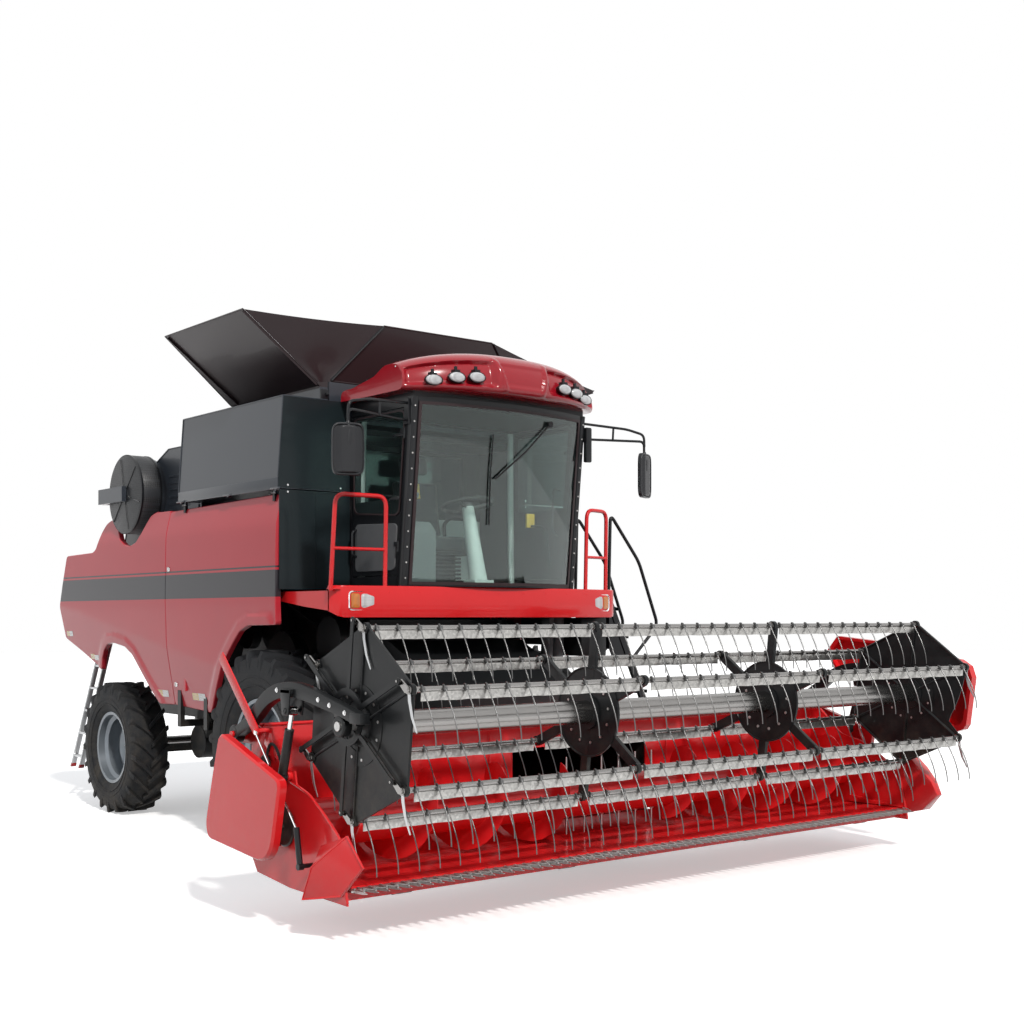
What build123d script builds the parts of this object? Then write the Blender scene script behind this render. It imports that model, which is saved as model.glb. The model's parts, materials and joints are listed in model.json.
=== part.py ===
from build123d import *
import math
import os

os.makedirs("parts", exist_ok=True)

# A self-propelled grain combine harvester with a rigid cutting table and a tined reel.
# Millimetres. While modelling, x = 0 is the middle, y = 0 the front axle, z = 0 the ground;
# -Y is forward and +X is the driver's left. At the end every piece is moved along Y
# so that the middle of the machine's length lies at y = 0.

# ---- driving sizes -------------------------------------------------------------------
SHEET = 12                     # pressed sheet wall of covers and housings
GAP = 0.3                      # running gap between a turning face and its seat
CLEAR = 8                      # gap between a panel and its frame

front_wheel = dict(x=1255, y=0, radius=810, width=470, rim_radius=400)
rear_wheel = dict(x=1305, y=2890, radius=627, width=370, rim_radius=325)
BEAD = 0.72                    # where the tyre's bead sits, as a share of its half width
LIP = 16                       # height of the rim's edge above its seat
KINGPIN_X = 1035
STEER_ARM = 180

BODY_HALF = 700                # threshing body, half width
BODY_TOP = 2180
BODY_FRONT, BODY_REAR = -480, 2730
RAIL_X = 560                   # chassis rails, centre
RAIL_TOP = 1000
SKIN_X = 1550                  # outer side sheets
SKIN_SHEET = 16
CREASE = ((650, 1480), (3990, 2000))      # (y, z) ends of the crease on the outer face
TUCK = 0.13                    # how far the sheet leans in below the crease, per mm
WAIST, WAIST_LEAN = 2600, 0.22 # above this height the sheet leans in again
SHIELD_HINGE_RADIUS, SHIELD_HINGE_HALF = 12, 35

CUT_HALF = 2630                # half the cutting width
REEL_Y, REEL_Z = -3280, 1273
REEL_RADIUS = 550
REEL_HALF = 2645
BATS = 6
BAT_START = 96.4               # angle of the first bat, from rearwards towards up
BAT_TUBE = 17
BAT_STRIP = 62                 # height of the flat strip that hangs from a bat
TINE_REACH, TINE_DROP = 145, 305          # a tine's tip, forward of its bat and below it
TINE_WIRE = 8
TINES = 3                      # tines drawn on each stretch of a bat, of the dozen there
SPIDER_DISC, SPIDER_ARM = 290, 64         # the open plates: disc radius and width of the arms
CONTROL_RING = (165, 125)      # outer and inner radius
CONTROL_ARM = 30
REEL_PLATES = (-2605, -868, 868, 2605)
REEL_PLATE = 10
REEL_TUBE, REEL_SHAFT = 75, 28
CRANK = (60, 45)               # (y, z) from a bat to its crank's pin
CRANK_X, CONTROL_X, CRANK_PIN = 2632, 2650, 8
KNIFE_Y, KNIFE_Z = -3235, 338
AUGER_Y, AUGER_Z = -2560, 625
AUGER_TUBE, AUGER_FLIGHT = 150, 285
TROUGH_RADIUS = 305
TABLE_BACK_TOP = 1215
END_X = 2650                   # table end plates, inner face
COVER_X = 2850                 # outermost face of the table's end covers
FEEDER_HALF = 690
FEEDER_LOW, FEEDER_HIGH = 400, 960        # at its joint with the table
LIFT_PIVOT_Y, LIFT_PIVOT_Z = -560, 1560
REEL_PIVOT_Y, REEL_PIVOT_Z = -2050, 1150
ARM_X = 2720                   # reel arms, centre

CAB_HALF = 860
CAB_WALL = 50
CAB_FLOOR, CAB_TOP, CAB_BACK_TOP = 2090, 3550, 3400
CAB_FRONT_LOW, CAB_FRONT_TOP, CAB_REAR = -1180, -1330, 70
PILLAR_LEAN = (CAB_FRONT_TOP - CAB_FRONT_LOW) / (CAB_TOP - CAB_FLOOR)
DOOR_GAP = 6
DOOR_FRONT, DOOR_REAR = 75, -470          # its front edge behind the pillar's face; its rear edge's y
DOOR_LOW, DOOR_HIGH = 2200, 3480
WINDOW_LOW, WINDOW_HIGH = 2790, 3440
DOOR_HINGE_Z = (2420, 3280)
DOOR_HINGE_RADIUS, DOOR_HINGE_HALF = 11, 40
DOOR_AXIS = (0, PILLAR_LEAN, 1)
ROOF_HALF = 965
ROOF_CROWN, ROOF_LIFT = 412, 38          # above the cab's top: the roof's crown and its lower edge
PLATFORM_HALF = 1440
PLATFORM_LOW, PLATFORM_TOP = 1880, 2090
PLATFORM_FRONT, PLATFORM_BOW = -1280, 165
PLATFORM_LIP = 28

TANK_FRONT, TANK_REAR = -450, 1270
TANK_LOW, TANK_TOP = 2880, 3600
RECESS_HALF, RECESS_REAR, RECESS_TOP = 920, 110, 3440     # the bay for the back of the cab
TANK_HALF_LOW, TANK_HALF_TOP = 1530, 1480
TANK_WALL = 12
HATCH_X = 1070
HATCH_FRONT, HATCH_REAR = -350, 1170
SIDE_FLAP_Z, END_FLAP_Z = 3730, 3775
FLAP_SHEET = 8
HINGE_ROD = 9
SHIELD_HINGE_Y = (-370, 1180)

DRUM_Y, DRUM_Z, DRUM_RADIUS = 2350, 3020, 365
DRUM_FACE, DRUM_DEPTH = 1550, 220
UNLOADER_X, UNLOADER_Y, UNLOADER_Z = 1700, 130, 3340
UNLOADER_RADIUS, UNLOADER_LENGTH = 140, 3450
HITCH_Y, HITCH_Z, HITCH_BORE = 3900, 940, 16

LIFT_X = 480                    # header lift rams, either side
LIFT_LOW = (-215, 720)          # (y, z) of their pins under the axle
LIFT_HIGH = (-1700, 560)        # (y, z) of their rod eyes under the feeder
REEL_RAM_X = 2720
REEL_RAM_LOW = (-2610, 930)
REEL_RAM_HIGH = (-2730, 1330)
PIN_FIT = 0.05                  # radial clearance of a pin in its bore
LADDER_PIN = (1462, -948)
LADDER_POST = 16
SHIELD_HINGE = (1512, 2852)     # (x, z)


# ---- shapes --------------------------------------------------------------------------
def block(x0, x1, y0, y1, z0, z1):
    return Pos((x0 + x1) / 2, (y0 + y1) / 2, (z0 + z1) / 2) * Box(x1 - x0, y1 - y0, z1 - z0)


def prism(points, direction):
    face = Face(Wire.make_polygon([Vector(*p) for p in points]))
    return Solid.extrude(face, Vector(*direction))


def slab_x(outline, x0, x1):
    """An outline of (y, z) points, from x0 to x1."""
    return prism([(x0, y, z) for y, z in outline], (x1 - x0, 0, 0))


def slab_y(outline, y0, y1):
    """An outline of (x, z) points, from y0 to y1."""
    return prism([(x, y0, z) for x, z in outline], (0, y1 - y0, 0))


def slab_z(outline, z0, z1):
    """An outline of (x, y) points, from z0 to z1."""
    return prism([(x, y, z0) for x, y in outline], (0, 0, z1 - z0))


def rod(start, end, radius):
    a, b = Vector(*start), Vector(*end)
    return Solid.make_cylinder(radius, (b - a).length, Plane(origin=a, z_dir=b - a))


def tube(start, end, outer, inner):
    a, b = Vector(*start), Vector(*end)
    reach = (b - a).normalized() * 5
    return rod(start, end, outer) - rod(tuple(a - reach), tuple(b + reach), inner)


def disc_x(x0, x1, y, z, radius):
    return rod((x0, y, z), (x1, y, z), radius)


def beam(start, end, depth, x0, x1):
    """A flat bar of a given depth between two (y, z) points, from x0 to x1."""
    a, b = Vector(0, *start), Vector(0, *end)
    side = (b - a).normalized().cross(Vector(1, 0, 0)) * (depth / 2)
    corners = [a - side, b - side, b + side, a + side]
    return slab_x([(c.Y, c.Z) for c in corners], x0, x1)


def pipe(points, radius, bend):
    """A bent tube, its corners rounded."""
    path = FilletPolyline(*points, radius=bend) if len(points) > 2 else Line(*points)
    start = Vector(*points[0])
    section = Plane(origin=start, z_dir=Vector(*points[1]) - start) * Circle(radius)
    return sweep(section, path=path)


def turned_x(profile, y, z):
    """A profile of (x, radius) points turned about a line along X."""
    face = Face(Wire.make_polygon([Vector(x, y, z + r) for x, r in profile]))
    return Solid.revolve(face, 360, Axis((0, y, z), (1, 0, 0)))


def sided(s, near, far):
    """Two distances from the middle as x values in rising order, on side s."""
    return sorted((s * near, s * far))


def join(pieces):
    whole = pieces[0]
    for piece in pieces[1:]:
        whole = whole + piece
    return whole


def other_side(shape):
    return mirror(shape, about=Plane.YZ)


def both_sides(shape):
    return Compound(list(shape.solids()) + list(other_side(shape).solids()))


def reel_point(angle, radius=REEL_RADIUS):
    turn = math.radians(angle)
    return REEL_Y + radius * math.cos(turn), REEL_Z + radius * math.sin(turn)


def hinge_ends(centre, axis, half):
    c, u = Vector(*centre), Vector(*axis).normalized()
    return c - u * half, c - u * (GAP / 2), c + u * (GAP / 2), c + u * half


def hinge_fixed(centre, axis, radius, half):
    """The fixed barrel of a hinge, with the pin that runs through both halves."""
    low, middle, _, high = hinge_ends(centre, axis, half)
    return rod(tuple(low), tuple(middle), radius) + rod(tuple(low), tuple(high), radius * 0.55)


def hinge_turning(centre, axis, radius, half):
    """The turning barrel, bored for the pin."""
    low, _, middle, high = hinge_ends(centre, axis, half)
    return rod(tuple(middle), tuple(high), radius) - rod(tuple(low), tuple(high * 2 - low),
                                                         radius * 0.55 + PIN_FIT)


# ---- chassis, axles and wheels -------------------------------------------------------
def chassis_frame():
    half = 60
    pieces = []
    for x in (-RAIL_X, RAIL_X):
        pieces.append(block(x - half, x + half, -420, 3760, RAIL_TOP - 110, RAIL_TOP))
    for y in (-380, 620, 1500, 2300, 3700):
        pieces.append(block(-RAIL_X, RAIL_X, y - 50, y + 50, RAIL_TOP - 100, RAIL_TOP - 10))
    # outriggers whose posts carry the side sheets
    for y in (900, 1400):
        for s in (-1, 1):
            x0, x1 = sorted((s * (RAIL_X + half), s * 1460))
            pieces.append(block(x0, x1, y - 30, y + 30, RAIL_TOP - 80, RAIL_TOP - 20))
            x0, x1 = sorted((s * 1420, s * 1460))
            pieces.append(block(x0, x1, y - 30, y + 30, RAIL_TOP - 80, 1240))
    # rear hitch: two ears with an upright pin hole
    pieces.append(block(-60, 60, 3690, HITCH_Y, HITCH_Z - 50, HITCH_Z + 50))
    pieces.append(Pos(0, HITCH_Y, HITCH_Z) * Cylinder(60, 100))
    frame = join(pieces)
    frame = frame - block(-80, 80, HITCH_Y - 70, HITCH_Y + 90, HITCH_Z - 25, HITCH_Z + 25)
    return frame - rod((0, HITCH_Y, HITCH_Z - 100), (0, HITCH_Y, HITCH_Z + 80), HITCH_BORE)


def front_axle():
    y, z = front_wheel["y"], front_wheel["radius"]
    hub_face = front_wheel["x"] - 130
    pieces = [disc_x(-820, 820, y, z, 80), block(-260, 260, y - 190, y + 220, z - 150, z + 80)]
    for s in (-1, 1):
        pieces.append(disc_x(*sided(s, 800, 960), y, z, 210))
        pieces.append(disc_x(*sided(s, 950, hub_face - GAP), y, z, 130))
        pieces.append(block(s * RAIL_X - 90, s * RAIL_X + 90, y - 130, y + 130, z, RAIL_TOP - 110))
    # lift cylinder lugs under the axle
    for s in (-1, 1):
        x = s * LIFT_X
        for side in (-1, 1):
            pieces.append(block(x + side * 58 - 8, x + side * 58 + 8, y - 250, y + 20, z - 150, z - 40))
    axle = join(pieces)
    for s in (-1, 1):
        axle = axle + disc_x(s * LIFT_X - 72, s * LIFT_X + 72, *LIFT_LOW, 20)
    return axle


def rear_axle():
    y, z = rear_wheel["y"], rear_wheel["radius"]
    pieces = [block(-930, 930, y - 70, y + 70, z - 70, z + 70)]
    pieces.append(block(-180, 180, y - 90, y + 90, z, RAIL_TOP - 200))
    pieces.append(rod((0, y - 170, RAIL_TOP - 250), (0, y + 170, RAIL_TOP - 250), 60))
    for s in (-1, 1):
        pieces.append(block(*sided(s, 900, 974), y - 40, y + 40, z - 115, z + 115))
        for low in (z - 115, z + 75):
            pieces.append(Pos(s * KINGPIN_X, y, low + 20) * Cylinder(60, 40))
            pieces.append(block(*sided(s, 960, KINGPIN_X), y - 60, y + 60, low, low + 40))
    # cradle between the rails
    for side in (-1, 1):
        pieces.append(block(-RAIL_X + 60, RAIL_X - 60, y + side * 130 - 25, y + side * 130 + 25,
                            RAIL_TOP - 310, RAIL_TOP - 10))
    axle = join(pieces)
    for s in (-1, 1):
        axle = axle - rod((s * KINGPIN_X, y, z - 130), (s * KINGPIN_X, y, z + 130), 30.05)
    return axle


def knuckle(s):
    y, z = rear_wheel["y"], rear_wheel["radius"]
    hub_face = rear_wheel["x"] - 125
    pieces = [
        Pos(s * KINGPIN_X, y, z) * Cylinder(55, 149),
        rod((s * KINGPIN_X, y, z - 120), (s * KINGPIN_X, y, z + 120), 30),
        disc_x(*sided(s, KINGPIN_X, hub_face - GAP), y, z, 45),
        block(s * KINGPIN_X - 18, s * KINGPIN_X + 18, y - STEER_ARM, y, z - 15, z + 15),
        Pos(s * KINGPIN_X, y - STEER_ARM, z) * Cylinder(30, 30),
    ]
    return join(pieces) - rod((s * KINGPIN_X, y - STEER_ARM, z - 30),
                              (s * KINGPIN_X, y - STEER_ARM, z + 30), 12.05)


def tie_rod():
    y, z = rear_wheel["y"] - STEER_ARM, rear_wheel["radius"]
    pieces = []
    for s in (-1, 1):
        x = s * KINGPIN_X
        pieces.append(Pos(x, y, z + 30.5) * Cylinder(30, 30))
        pieces.append(rod((x, y, z - 14), (x, y, z + 30), 12))
    pieces.append(disc_x(-KINGPIN_X, KINGPIN_X, y, z + 32, 13))
    return join(pieces)


def tyre(wheel, s):
    x, w, r, seat = wheel["x"], wheel["width"] / 2, wheel["radius"], wheel["rim_radius"]
    wall = (r - seat)
    bead = w * BEAD
    half = [(w * 0.60, seat + 30), (w * 0.60, seat), (bead, seat), (bead, seat + LIP + 2),
            (bead + 14, seat + LIP + 4),
            (w * 0.98, seat + wall * 0.36), (w, seat + wall * 0.55), (w * 0.97, r - wall * 0.16),
            (w * 0.86, r - wall * 0.05), (w * 0.45, r)]
    profile = half + [(-px, pr) for px, pr in reversed(half)]
    return turned_x([(s * x + px, pr) for px, pr in profile], wheel["y"], r)


def rim(wheel, s, disc_at, disc_radius, bolt_circle):
    """The rim's barrel, its disc at a distance outside the wheel's middle, and the hub."""
    x, w, r, seat = wheel["x"], wheel["width"] / 2, wheel["radius"], wheel["rim_radius"]
    edge, shell = w * BEAD, 10
    barrel = [(-edge, seat), (edge, seat), (edge, seat - shell), (-edge, seat - shell)]
    flange = [(edge, seat - shell), (edge + 10, seat - shell), (edge + 10, seat + LIP),
              (edge, seat + LIP)]
    pieces = [turned_x([(s * x + px, pr) for px, pr in barrel], wheel["y"], r)]
    for side in (-1, 1):
        pieces.append(turned_x([(s * x + side * px, pr) for px, pr in flange], wheel["y"], r))
    dx = s * (x + disc_at)
    pieces.append(disc_x(*sorted((dx, dx + s * 14)), wheel["y"], r, disc_radius))
    inner = s * (x - (125 if wheel is rear_wheel else 130))
    pieces.append(disc_x(*sorted((inner, dx + s * 60)), wheel["y"], r, bolt_circle * 0.62))
    pieces.append(disc_x(*sorted((inner, inner + s * 16)), wheel["y"], r, bolt_circle * 0.9))
    return join(pieces)


def front_rim(s):
    return rim(front_wheel, s, -60, front_wheel["rim_radius"] - 5, 150)


def rear_rim(s):
    return rim(rear_wheel, s, -60, rear_wheel["rim_radius"] - 5, 110)


# ---- body ----------------------------------------------------------------------------
BODY_OUTLINE = [(BODY_FRONT, 1130), (BODY_FRONT, 1860), (70, 1860), (104, BODY_TOP),
                (BODY_REAR, BODY_TOP), (BODY_REAR, 1340),
                (2100, RAIL_TOP), (330, RAIL_TOP), (150, 1060), (-300, 1060)]
# drive pulleys behind the side shields: y, z, radius, width, side
PULLEYS = [(-250, 1700, 190, 90, -1), (450, 1500, 260, 120, -1), (1150, 1750, 150, 80, -1),
           (1450, 1250, 180, 80, -1), (-250, 1700, 150, 80, 1), (500, 1450, 280, 140, 1),
           (1200, 1800, 200, 90, 1), (1450, 1300, 150, 80, 1)]


def threshing_body():
    pieces = [slab_x(BODY_OUTLINE, -BODY_HALF, BODY_HALF)]
    for y, z, radius, width, s in PULLEYS:
        near, far = BODY_HALF + 160, BODY_HALF + 160 + width
        pieces.append(disc_x(*sided(s, BODY_HALF - 10, near + 5), y, z, 30))
        pieces.append(disc_x(*sided(s, near, far), y, z, radius))
    # grain elevator down the right side, with its boot under the belly
    pieces.append(beam((1780, 760), (1200, 2170), 230, -1080, -880))
    pieces.append(disc_x(-1085, -875, 1790, 740, 150))
    pieces.append(block(-890, -BODY_HALF + 10, 1400, 1640, 1250, 1420))
    # ears that carry the feeder house on stub shafts
    for s in (-1, 1):
        ear = [(BODY_FRONT + 10, 1470), (BODY_FRONT + 10, 1700), (-580, 1640), (-640, LIFT_PIVOT_Z),
               (-580, 1480)]
        pieces.append(slab_x(ear, *sided(s, BODY_HALF - 14, BODY_HALF)))
        pieces.append(disc_x(*sided(s, 640, BODY_HALF), LIFT_PIVOT_Y, LIFT_PIVOT_Z, 30))
    return join(pieces)


def straw_hood():
    top, low, front, rear = 2470, 1330, BODY_REAR, 3930
    outer, chute = 1440, 660
    pieces = [
        block(-outer, outer, 2950, rear, top - SHEET, top),
        block(-outer, outer, rear - SHEET, rear, 1690, top),
    ]
    for s in (-1, 1):
        x0, x1 = sorted((s * chute, s * (chute + SHEET)))
        pieces.append(slab_x([(front, low), (front, BODY_TOP), (2960, top), (rear, top), (rear, 1700),
                              (3500, low)], x0, x1))
    pieces.append(slab_x([(front, BODY_TOP - SHEET), (front, BODY_TOP), (2960, top), (3000, top),
                          (2960, top - SHEET)],
                         -chute, chute))
    return join(pieces)


def grain_tank():
    w = TANK_WALL

    def trunk(inset, low, high):
        share = (TANK_HALF_LOW - TANK_HALF_TOP) / (TANK_TOP - TANK_LOW)
        at = lambda z: TANK_HALF_LOW - share * (z - TANK_LOW) - inset
        return slab_y([(-at(low), low), (-at(high), high), (at(high), high), (at(low), low)],
                      TANK_FRONT + inset, TANK_REAR - inset)

    shell = trunk(0, TANK_LOW, TANK_TOP) - trunk(w, TANK_LOW + w, TANK_TOP - w)
    shell = shell + block(-RECESS_HALF - w, RECESS_HALF + w, TANK_FRONT, RECESS_REAR + w, TANK_LOW,
                          RECESS_TOP + w)
    hopper = [(-1250, TANK_LOW + w), (-680, BODY_TOP), (680, BODY_TOP), (1250, TANK_LOW + w)]
    inside = [(-1250 + 2 * w, TANK_LOW + 2 * w), (-680 + w, BODY_TOP + w), (680 - w, BODY_TOP + w),
              (1250 - 2 * w, TANK_LOW + 2 * w)]
    shell = shell + slab_y(hopper, RECESS_REAR, TANK_REAR) - slab_y(inside, RECESS_REAR + w,
                                                            TANK_REAR - w)
    # raised hatch rim, higher at its ends where the end flaps hinge
    hinge_rest = HINGE_ROD + GAP
    shell = shell + block(-HATCH_X - 20, HATCH_X + 20, HATCH_FRONT, HATCH_REAR, TANK_TOP - w,
                          SIDE_FLAP_Z - hinge_rest)
    for y0, y1 in ((HATCH_FRONT - w, HATCH_FRONT + w), (HATCH_REAR - w, HATCH_REAR + w)):
        shell = shell + block(-HATCH_X + 60, HATCH_X - 60, y0, y1, TANK_TOP - w, END_FLAP_Z - hinge_rest)
    shell = shell - block(-HATCH_X + w, HATCH_X - w, HATCH_FRONT + w, HATCH_REAR - w, TANK_TOP - 3 * w,
                          SIDE_FLAP_Z + 100)
    shell = shell - block(-RECESS_HALF, RECESS_HALF, TANK_FRONT - 10, RECESS_REAR, 2000, RECESS_TOP)
    # outlet at the left side that carries the unloading tube's swivel
    outlet = block(1400, UNLOADER_X + 60, UNLOADER_Y - 130, UNLOADER_Y + 130, 2985, 3150)
    outlet = outlet + rod((UNLOADER_X, UNLOADER_Y, 2985), (UNLOADER_X, UNLOADER_Y, 3150), 150)
    outlet = outlet - trunk(w / 2, TANK_LOW, TANK_TOP)
    shell = shell + outlet
    # fixed halves of the side shields' hinges
    for s in (-1, 1):
        for y in SHIELD_HINGE_Y:
            place = (s * SHIELD_HINGE[0], y, SHIELD_HINGE[1])
            fixed = hinge_fixed(place, (0, 1, 0), SHIELD_HINGE_RADIUS, SHIELD_HINGE_HALF)
            x0, x1 = sorted((s * (SHIELD_HINGE[0] - 8), s * (SHIELD_HINGE[0] + 8)))
            shell = shell + fixed + block(x0, x1, y - 35, y - 3, SHIELD_HINGE[1] + 6, TANK_LOW + 4)
    return shell


def unloading_auger():
    x, y, z = UNLOADER_X, UNLOADER_Y, UNLOADER_Z
    r = UNLOADER_RADIUS
    end = y + UNLOADER_LENGTH
    pieces = [
        rod((x, y, 3150 + GAP), (x, y, z), r),
        Pos(x, y, z) * Sphere(r),
        rod((x, y, z), (x, end, z), r),
        rod((x, y, 3150 + GAP), (x, y, 3150 + 25), r + 18),
    ]
    spout = slab_x([(end - 160, z), (end, z + r * 0.5), (end + 60, z - 60), (end + 20, z - 330),
                    (end - 190, z - 330)],
                   x - 120, x + 120)
    return join(pieces + [spout])


FLAPS = {
    # rest slope above level, in degrees, and the width of the sheet
    "tank_flap_right": dict(side=-1, slope=37, length=870),
    "tank_flap_left": dict(side=1, slope=18, length=870),
}


def side_flap(s, slope, length):
    y0, y1 = HATCH_FRONT + 22, HATCH_REAR - 22
    outline = [(0, y0), (length, y0), (length, y1 - 110), (0, y1)]
    sheet = slab_z([(s * u, y) for u, y in outline], -FLAP_SHEET / 2, FLAP_SHEET / 2)
    for y in (y0 + 8, y1 - 150):
        sheet = sheet + block(*sided(s, 30, length - 20), y - 8, y + 8, -22, 0)
    sheet = sheet + rod((0, y0, 0), (0, y1, 0), HINGE_ROD)
    return Pos(s * HATCH_X, 0, SIDE_FLAP_Z) * Rot(0, -s * slope, 0) * sheet


def end_flap(sign, hinge_y, slope, length):
    low, high = HATCH_X - 90, 560
    sheet = slab_z([(-low, 0), (low, 0), (high, sign * length), (-high, sign * length)],
                   -FLAP_SHEET / 2, FLAP_SHEET / 2)
    sheet = sheet + rod((-low, 0, 0), (low, 0, 0), HINGE_ROD)
    return Pos(0, hinge_y, END_FLAP_Z) * Rot(sign * slope, 0, 0) * sheet


def engine_hood():
    outline = [(TANK_REAR + 12, 2560), (TANK_REAR + 12, 3420), (1950, 3420), (2250, 3300), (2780, 2980),
               (2930, 2560)]
    inside = [(TANK_REAR + 24, 2500), (TANK_REAR + 24, 3408), (1945, 3408), (2242, 3290), (2770, 2970),
              (2912, 2500)]
    shell = slab_x(outline, -1300, 1300) - slab_x(inside, -1288, 1288)
    ring = disc_x(-(DRUM_FACE - DRUM_DEPTH), -1290, DRUM_Y, DRUM_Z, DRUM_RADIUS - 25)
    throat = disc_x(-1400, -1200, DRUM_Y, DRUM_Z, DRUM_RADIUS - 60)
    arms = [block(-1310, -1290, DRUM_Y - 330, DRUM_Y + 330, DRUM_Z - 15, DRUM_Z + 15),
            block(-1310, -1290, DRUM_Y - 15, DRUM_Y + 15, DRUM_Z - 330, DRUM_Z + 330)]
    shell = join([shell + ring - throat] + arms)
    # suction duct that stands outside the turning screen, with its foot on the hood
    duct = block(-1605, -1560, DRUM_Y - 60, DRUM_Y + 480, DRUM_Z - 70, DRUM_Z + 70)
    duct = duct + block(-1605, -1290, DRUM_Y + 400, DRUM_Y + 480, DRUM_Z - 70, DRUM_Z + 30)
    duct = duct + disc_x(-(DRUM_FACE - 50), -1290, DRUM_Y, DRUM_Z, 20)
    floor = block(-1300, 1300, TANK_REAR + 12, 2930, 2560, 2572)
    posts = [block(s * 640 - 40, s * 640 + 40, y - 40, y + 40, BODY_TOP, 2562) for s in (-1,
                                                            1) for y in (1400, 2600)]
    return join([shell, duct, floor] + posts)


def dust_screen():
    face = DRUM_FACE
    back = DRUM_FACE - DRUM_DEPTH + 8
    outer = disc_x(-face, -back, DRUM_Y, DRUM_Z, DRUM_RADIUS)
    inner = disc_x(-face + 10, -back + 10, DRUM_Y, DRUM_Z, DRUM_RADIUS - 10)
    screen = outer - inner
    hub = disc_x(-face, -back, DRUM_Y, DRUM_Z, 40) - disc_x(-face + 49, -back + 5, DRUM_Y, DRUM_Z,
                                                            20 + PIN_FIT)
    spokes = [block(-back - 12, -back, DRUM_Y - 12, DRUM_Y + 12, DRUM_Z - DRUM_RADIUS + 5,
                    DRUM_Z + DRUM_RADIUS - 5),
              block(-back - 12, -back, DRUM_Y - DRUM_RADIUS + 5, DRUM_Y + DRUM_RADIUS - 5, DRUM_Z - 12,
                    DRUM_Z + 12)]
    screen = join([screen, hub] + spokes)
    return screen - disc_x(-face + 49, -back + 5, DRUM_Y, DRUM_Z, 20 + PIN_FIT)


def engine():
    return block(-420, 420, 1450, 2250, 2572, 3150)


# ---- side sheets ---------------------------------------------------------------------
FRONT_SHIELD = [(-440, 2835), (-410, 1830), (20, 1830), (420, 1580), (840, 1080), (1530, 1110),
                (1490, 2805)]
REAR_PANEL = [(1545, 1110), (1505, 2820), (1800, 2820), (1940, 2770), (2040, 2630), (2270, 2530),
              (2500, 2600),
              (2640, 2780), (2790, 2800), (2930, 2720), (3010, 2610), (3120, 2500), (3790, 2490), (3890,
                                                            2220),
              (3980, 1970), (3950, 1670), (3560, 1560), (3110, 1370), (2960, 1520), (2770, 1630), (2550,
                                                            1650),
              (2340, 1620), (2140, 1520), (1970, 1360), (1800, 1110)]


def crease_at(y):
    (ya, za), (yb, zb) = CREASE
    return za + (zb - za) / (yb - ya) * (y - ya)


def lean_cut(front, rear, z_front, z_rear, lean, up):
    """What is cut away outside a sheet that leans in, beyond a fold from front to rear."""
    reach = 1100
    wires = []
    for y, z in ((front, z_front), (rear, z_rear)):
        end = z + up * reach
        corners = [(SKIN_X, y, z), (SKIN_X - lean * reach, y, end), (SKIN_X + 60, y, end),
                   (SKIN_X + 60, y, z)]
        wires.append(Wire.make_polygon([Vector(*corner) for corner in corners]))
    return Solid.make_loft(wires, True)


def side_skin(outline):
    """A pressed side sheet: upright between the crease and the waist, leaning in beyond both."""
    front, rear = -601, 4101
    full = block(0, SKIN_X, front + 1, rear - 1, 900, 2950)
    full = full - lean_cut(front, rear, crease_at(front), crease_at(rear), TUCK, -1)
    full = full - lean_cut(front, rear, WAIST, WAIST, WAIST_LEAN, 1)
    skin = full - Pos(-SKIN_SHEET, 0, 0) * full
    return skin & slab_x(outline, 900, SKIN_X + 100)


def side_shield(s):
    skin = side_skin(FRONT_SHIELD)
    hinges = []
    for y in SHIELD_HINGE_Y:
        place = (SHIELD_HINGE[0], y, SHIELD_HINGE[1])
        hinges.append(hinge_turning(place, (0, 1, 0), SHIELD_HINGE_RADIUS, SHIELD_HINGE_HALF))
        hinges.append(block(1484, SHIELD_HINGE[0] - 7.5, y + 1, y + SHIELD_HINGE_HALF, 2790,
                            SHIELD_HINGE[1] + 4))
    shape = join([skin] + hinges)
    return shape if s > 0 else other_side(shape)


def rear_side_panels():
    skin = side_skin(REAR_PANEL)
    # brackets to the hood and the chassis outriggers
    brackets = [block(1440, 1540, y - 20, y + 20, 2450, 2470) for y in (3200, 3700)]
    return both_sides(join([skin] + brackets))


# ---- cab and platform ----------------------------------------------------------------
def door_hinge(s, z):
    return s * (CAB_HALF + 14), front_at(z) + DOOR_FRONT + DOOR_GAP / 2, z


def front_at(z):
    return CAB_FRONT_LOW + PILLAR_LEAN * (z - CAB_FLOOR)


def side_opening(front_gap, rear, low, high):
    return [(front_at(low) + front_gap, low), (front_at(high) + front_gap, high), (rear, high),
            (rear, low)]


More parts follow.
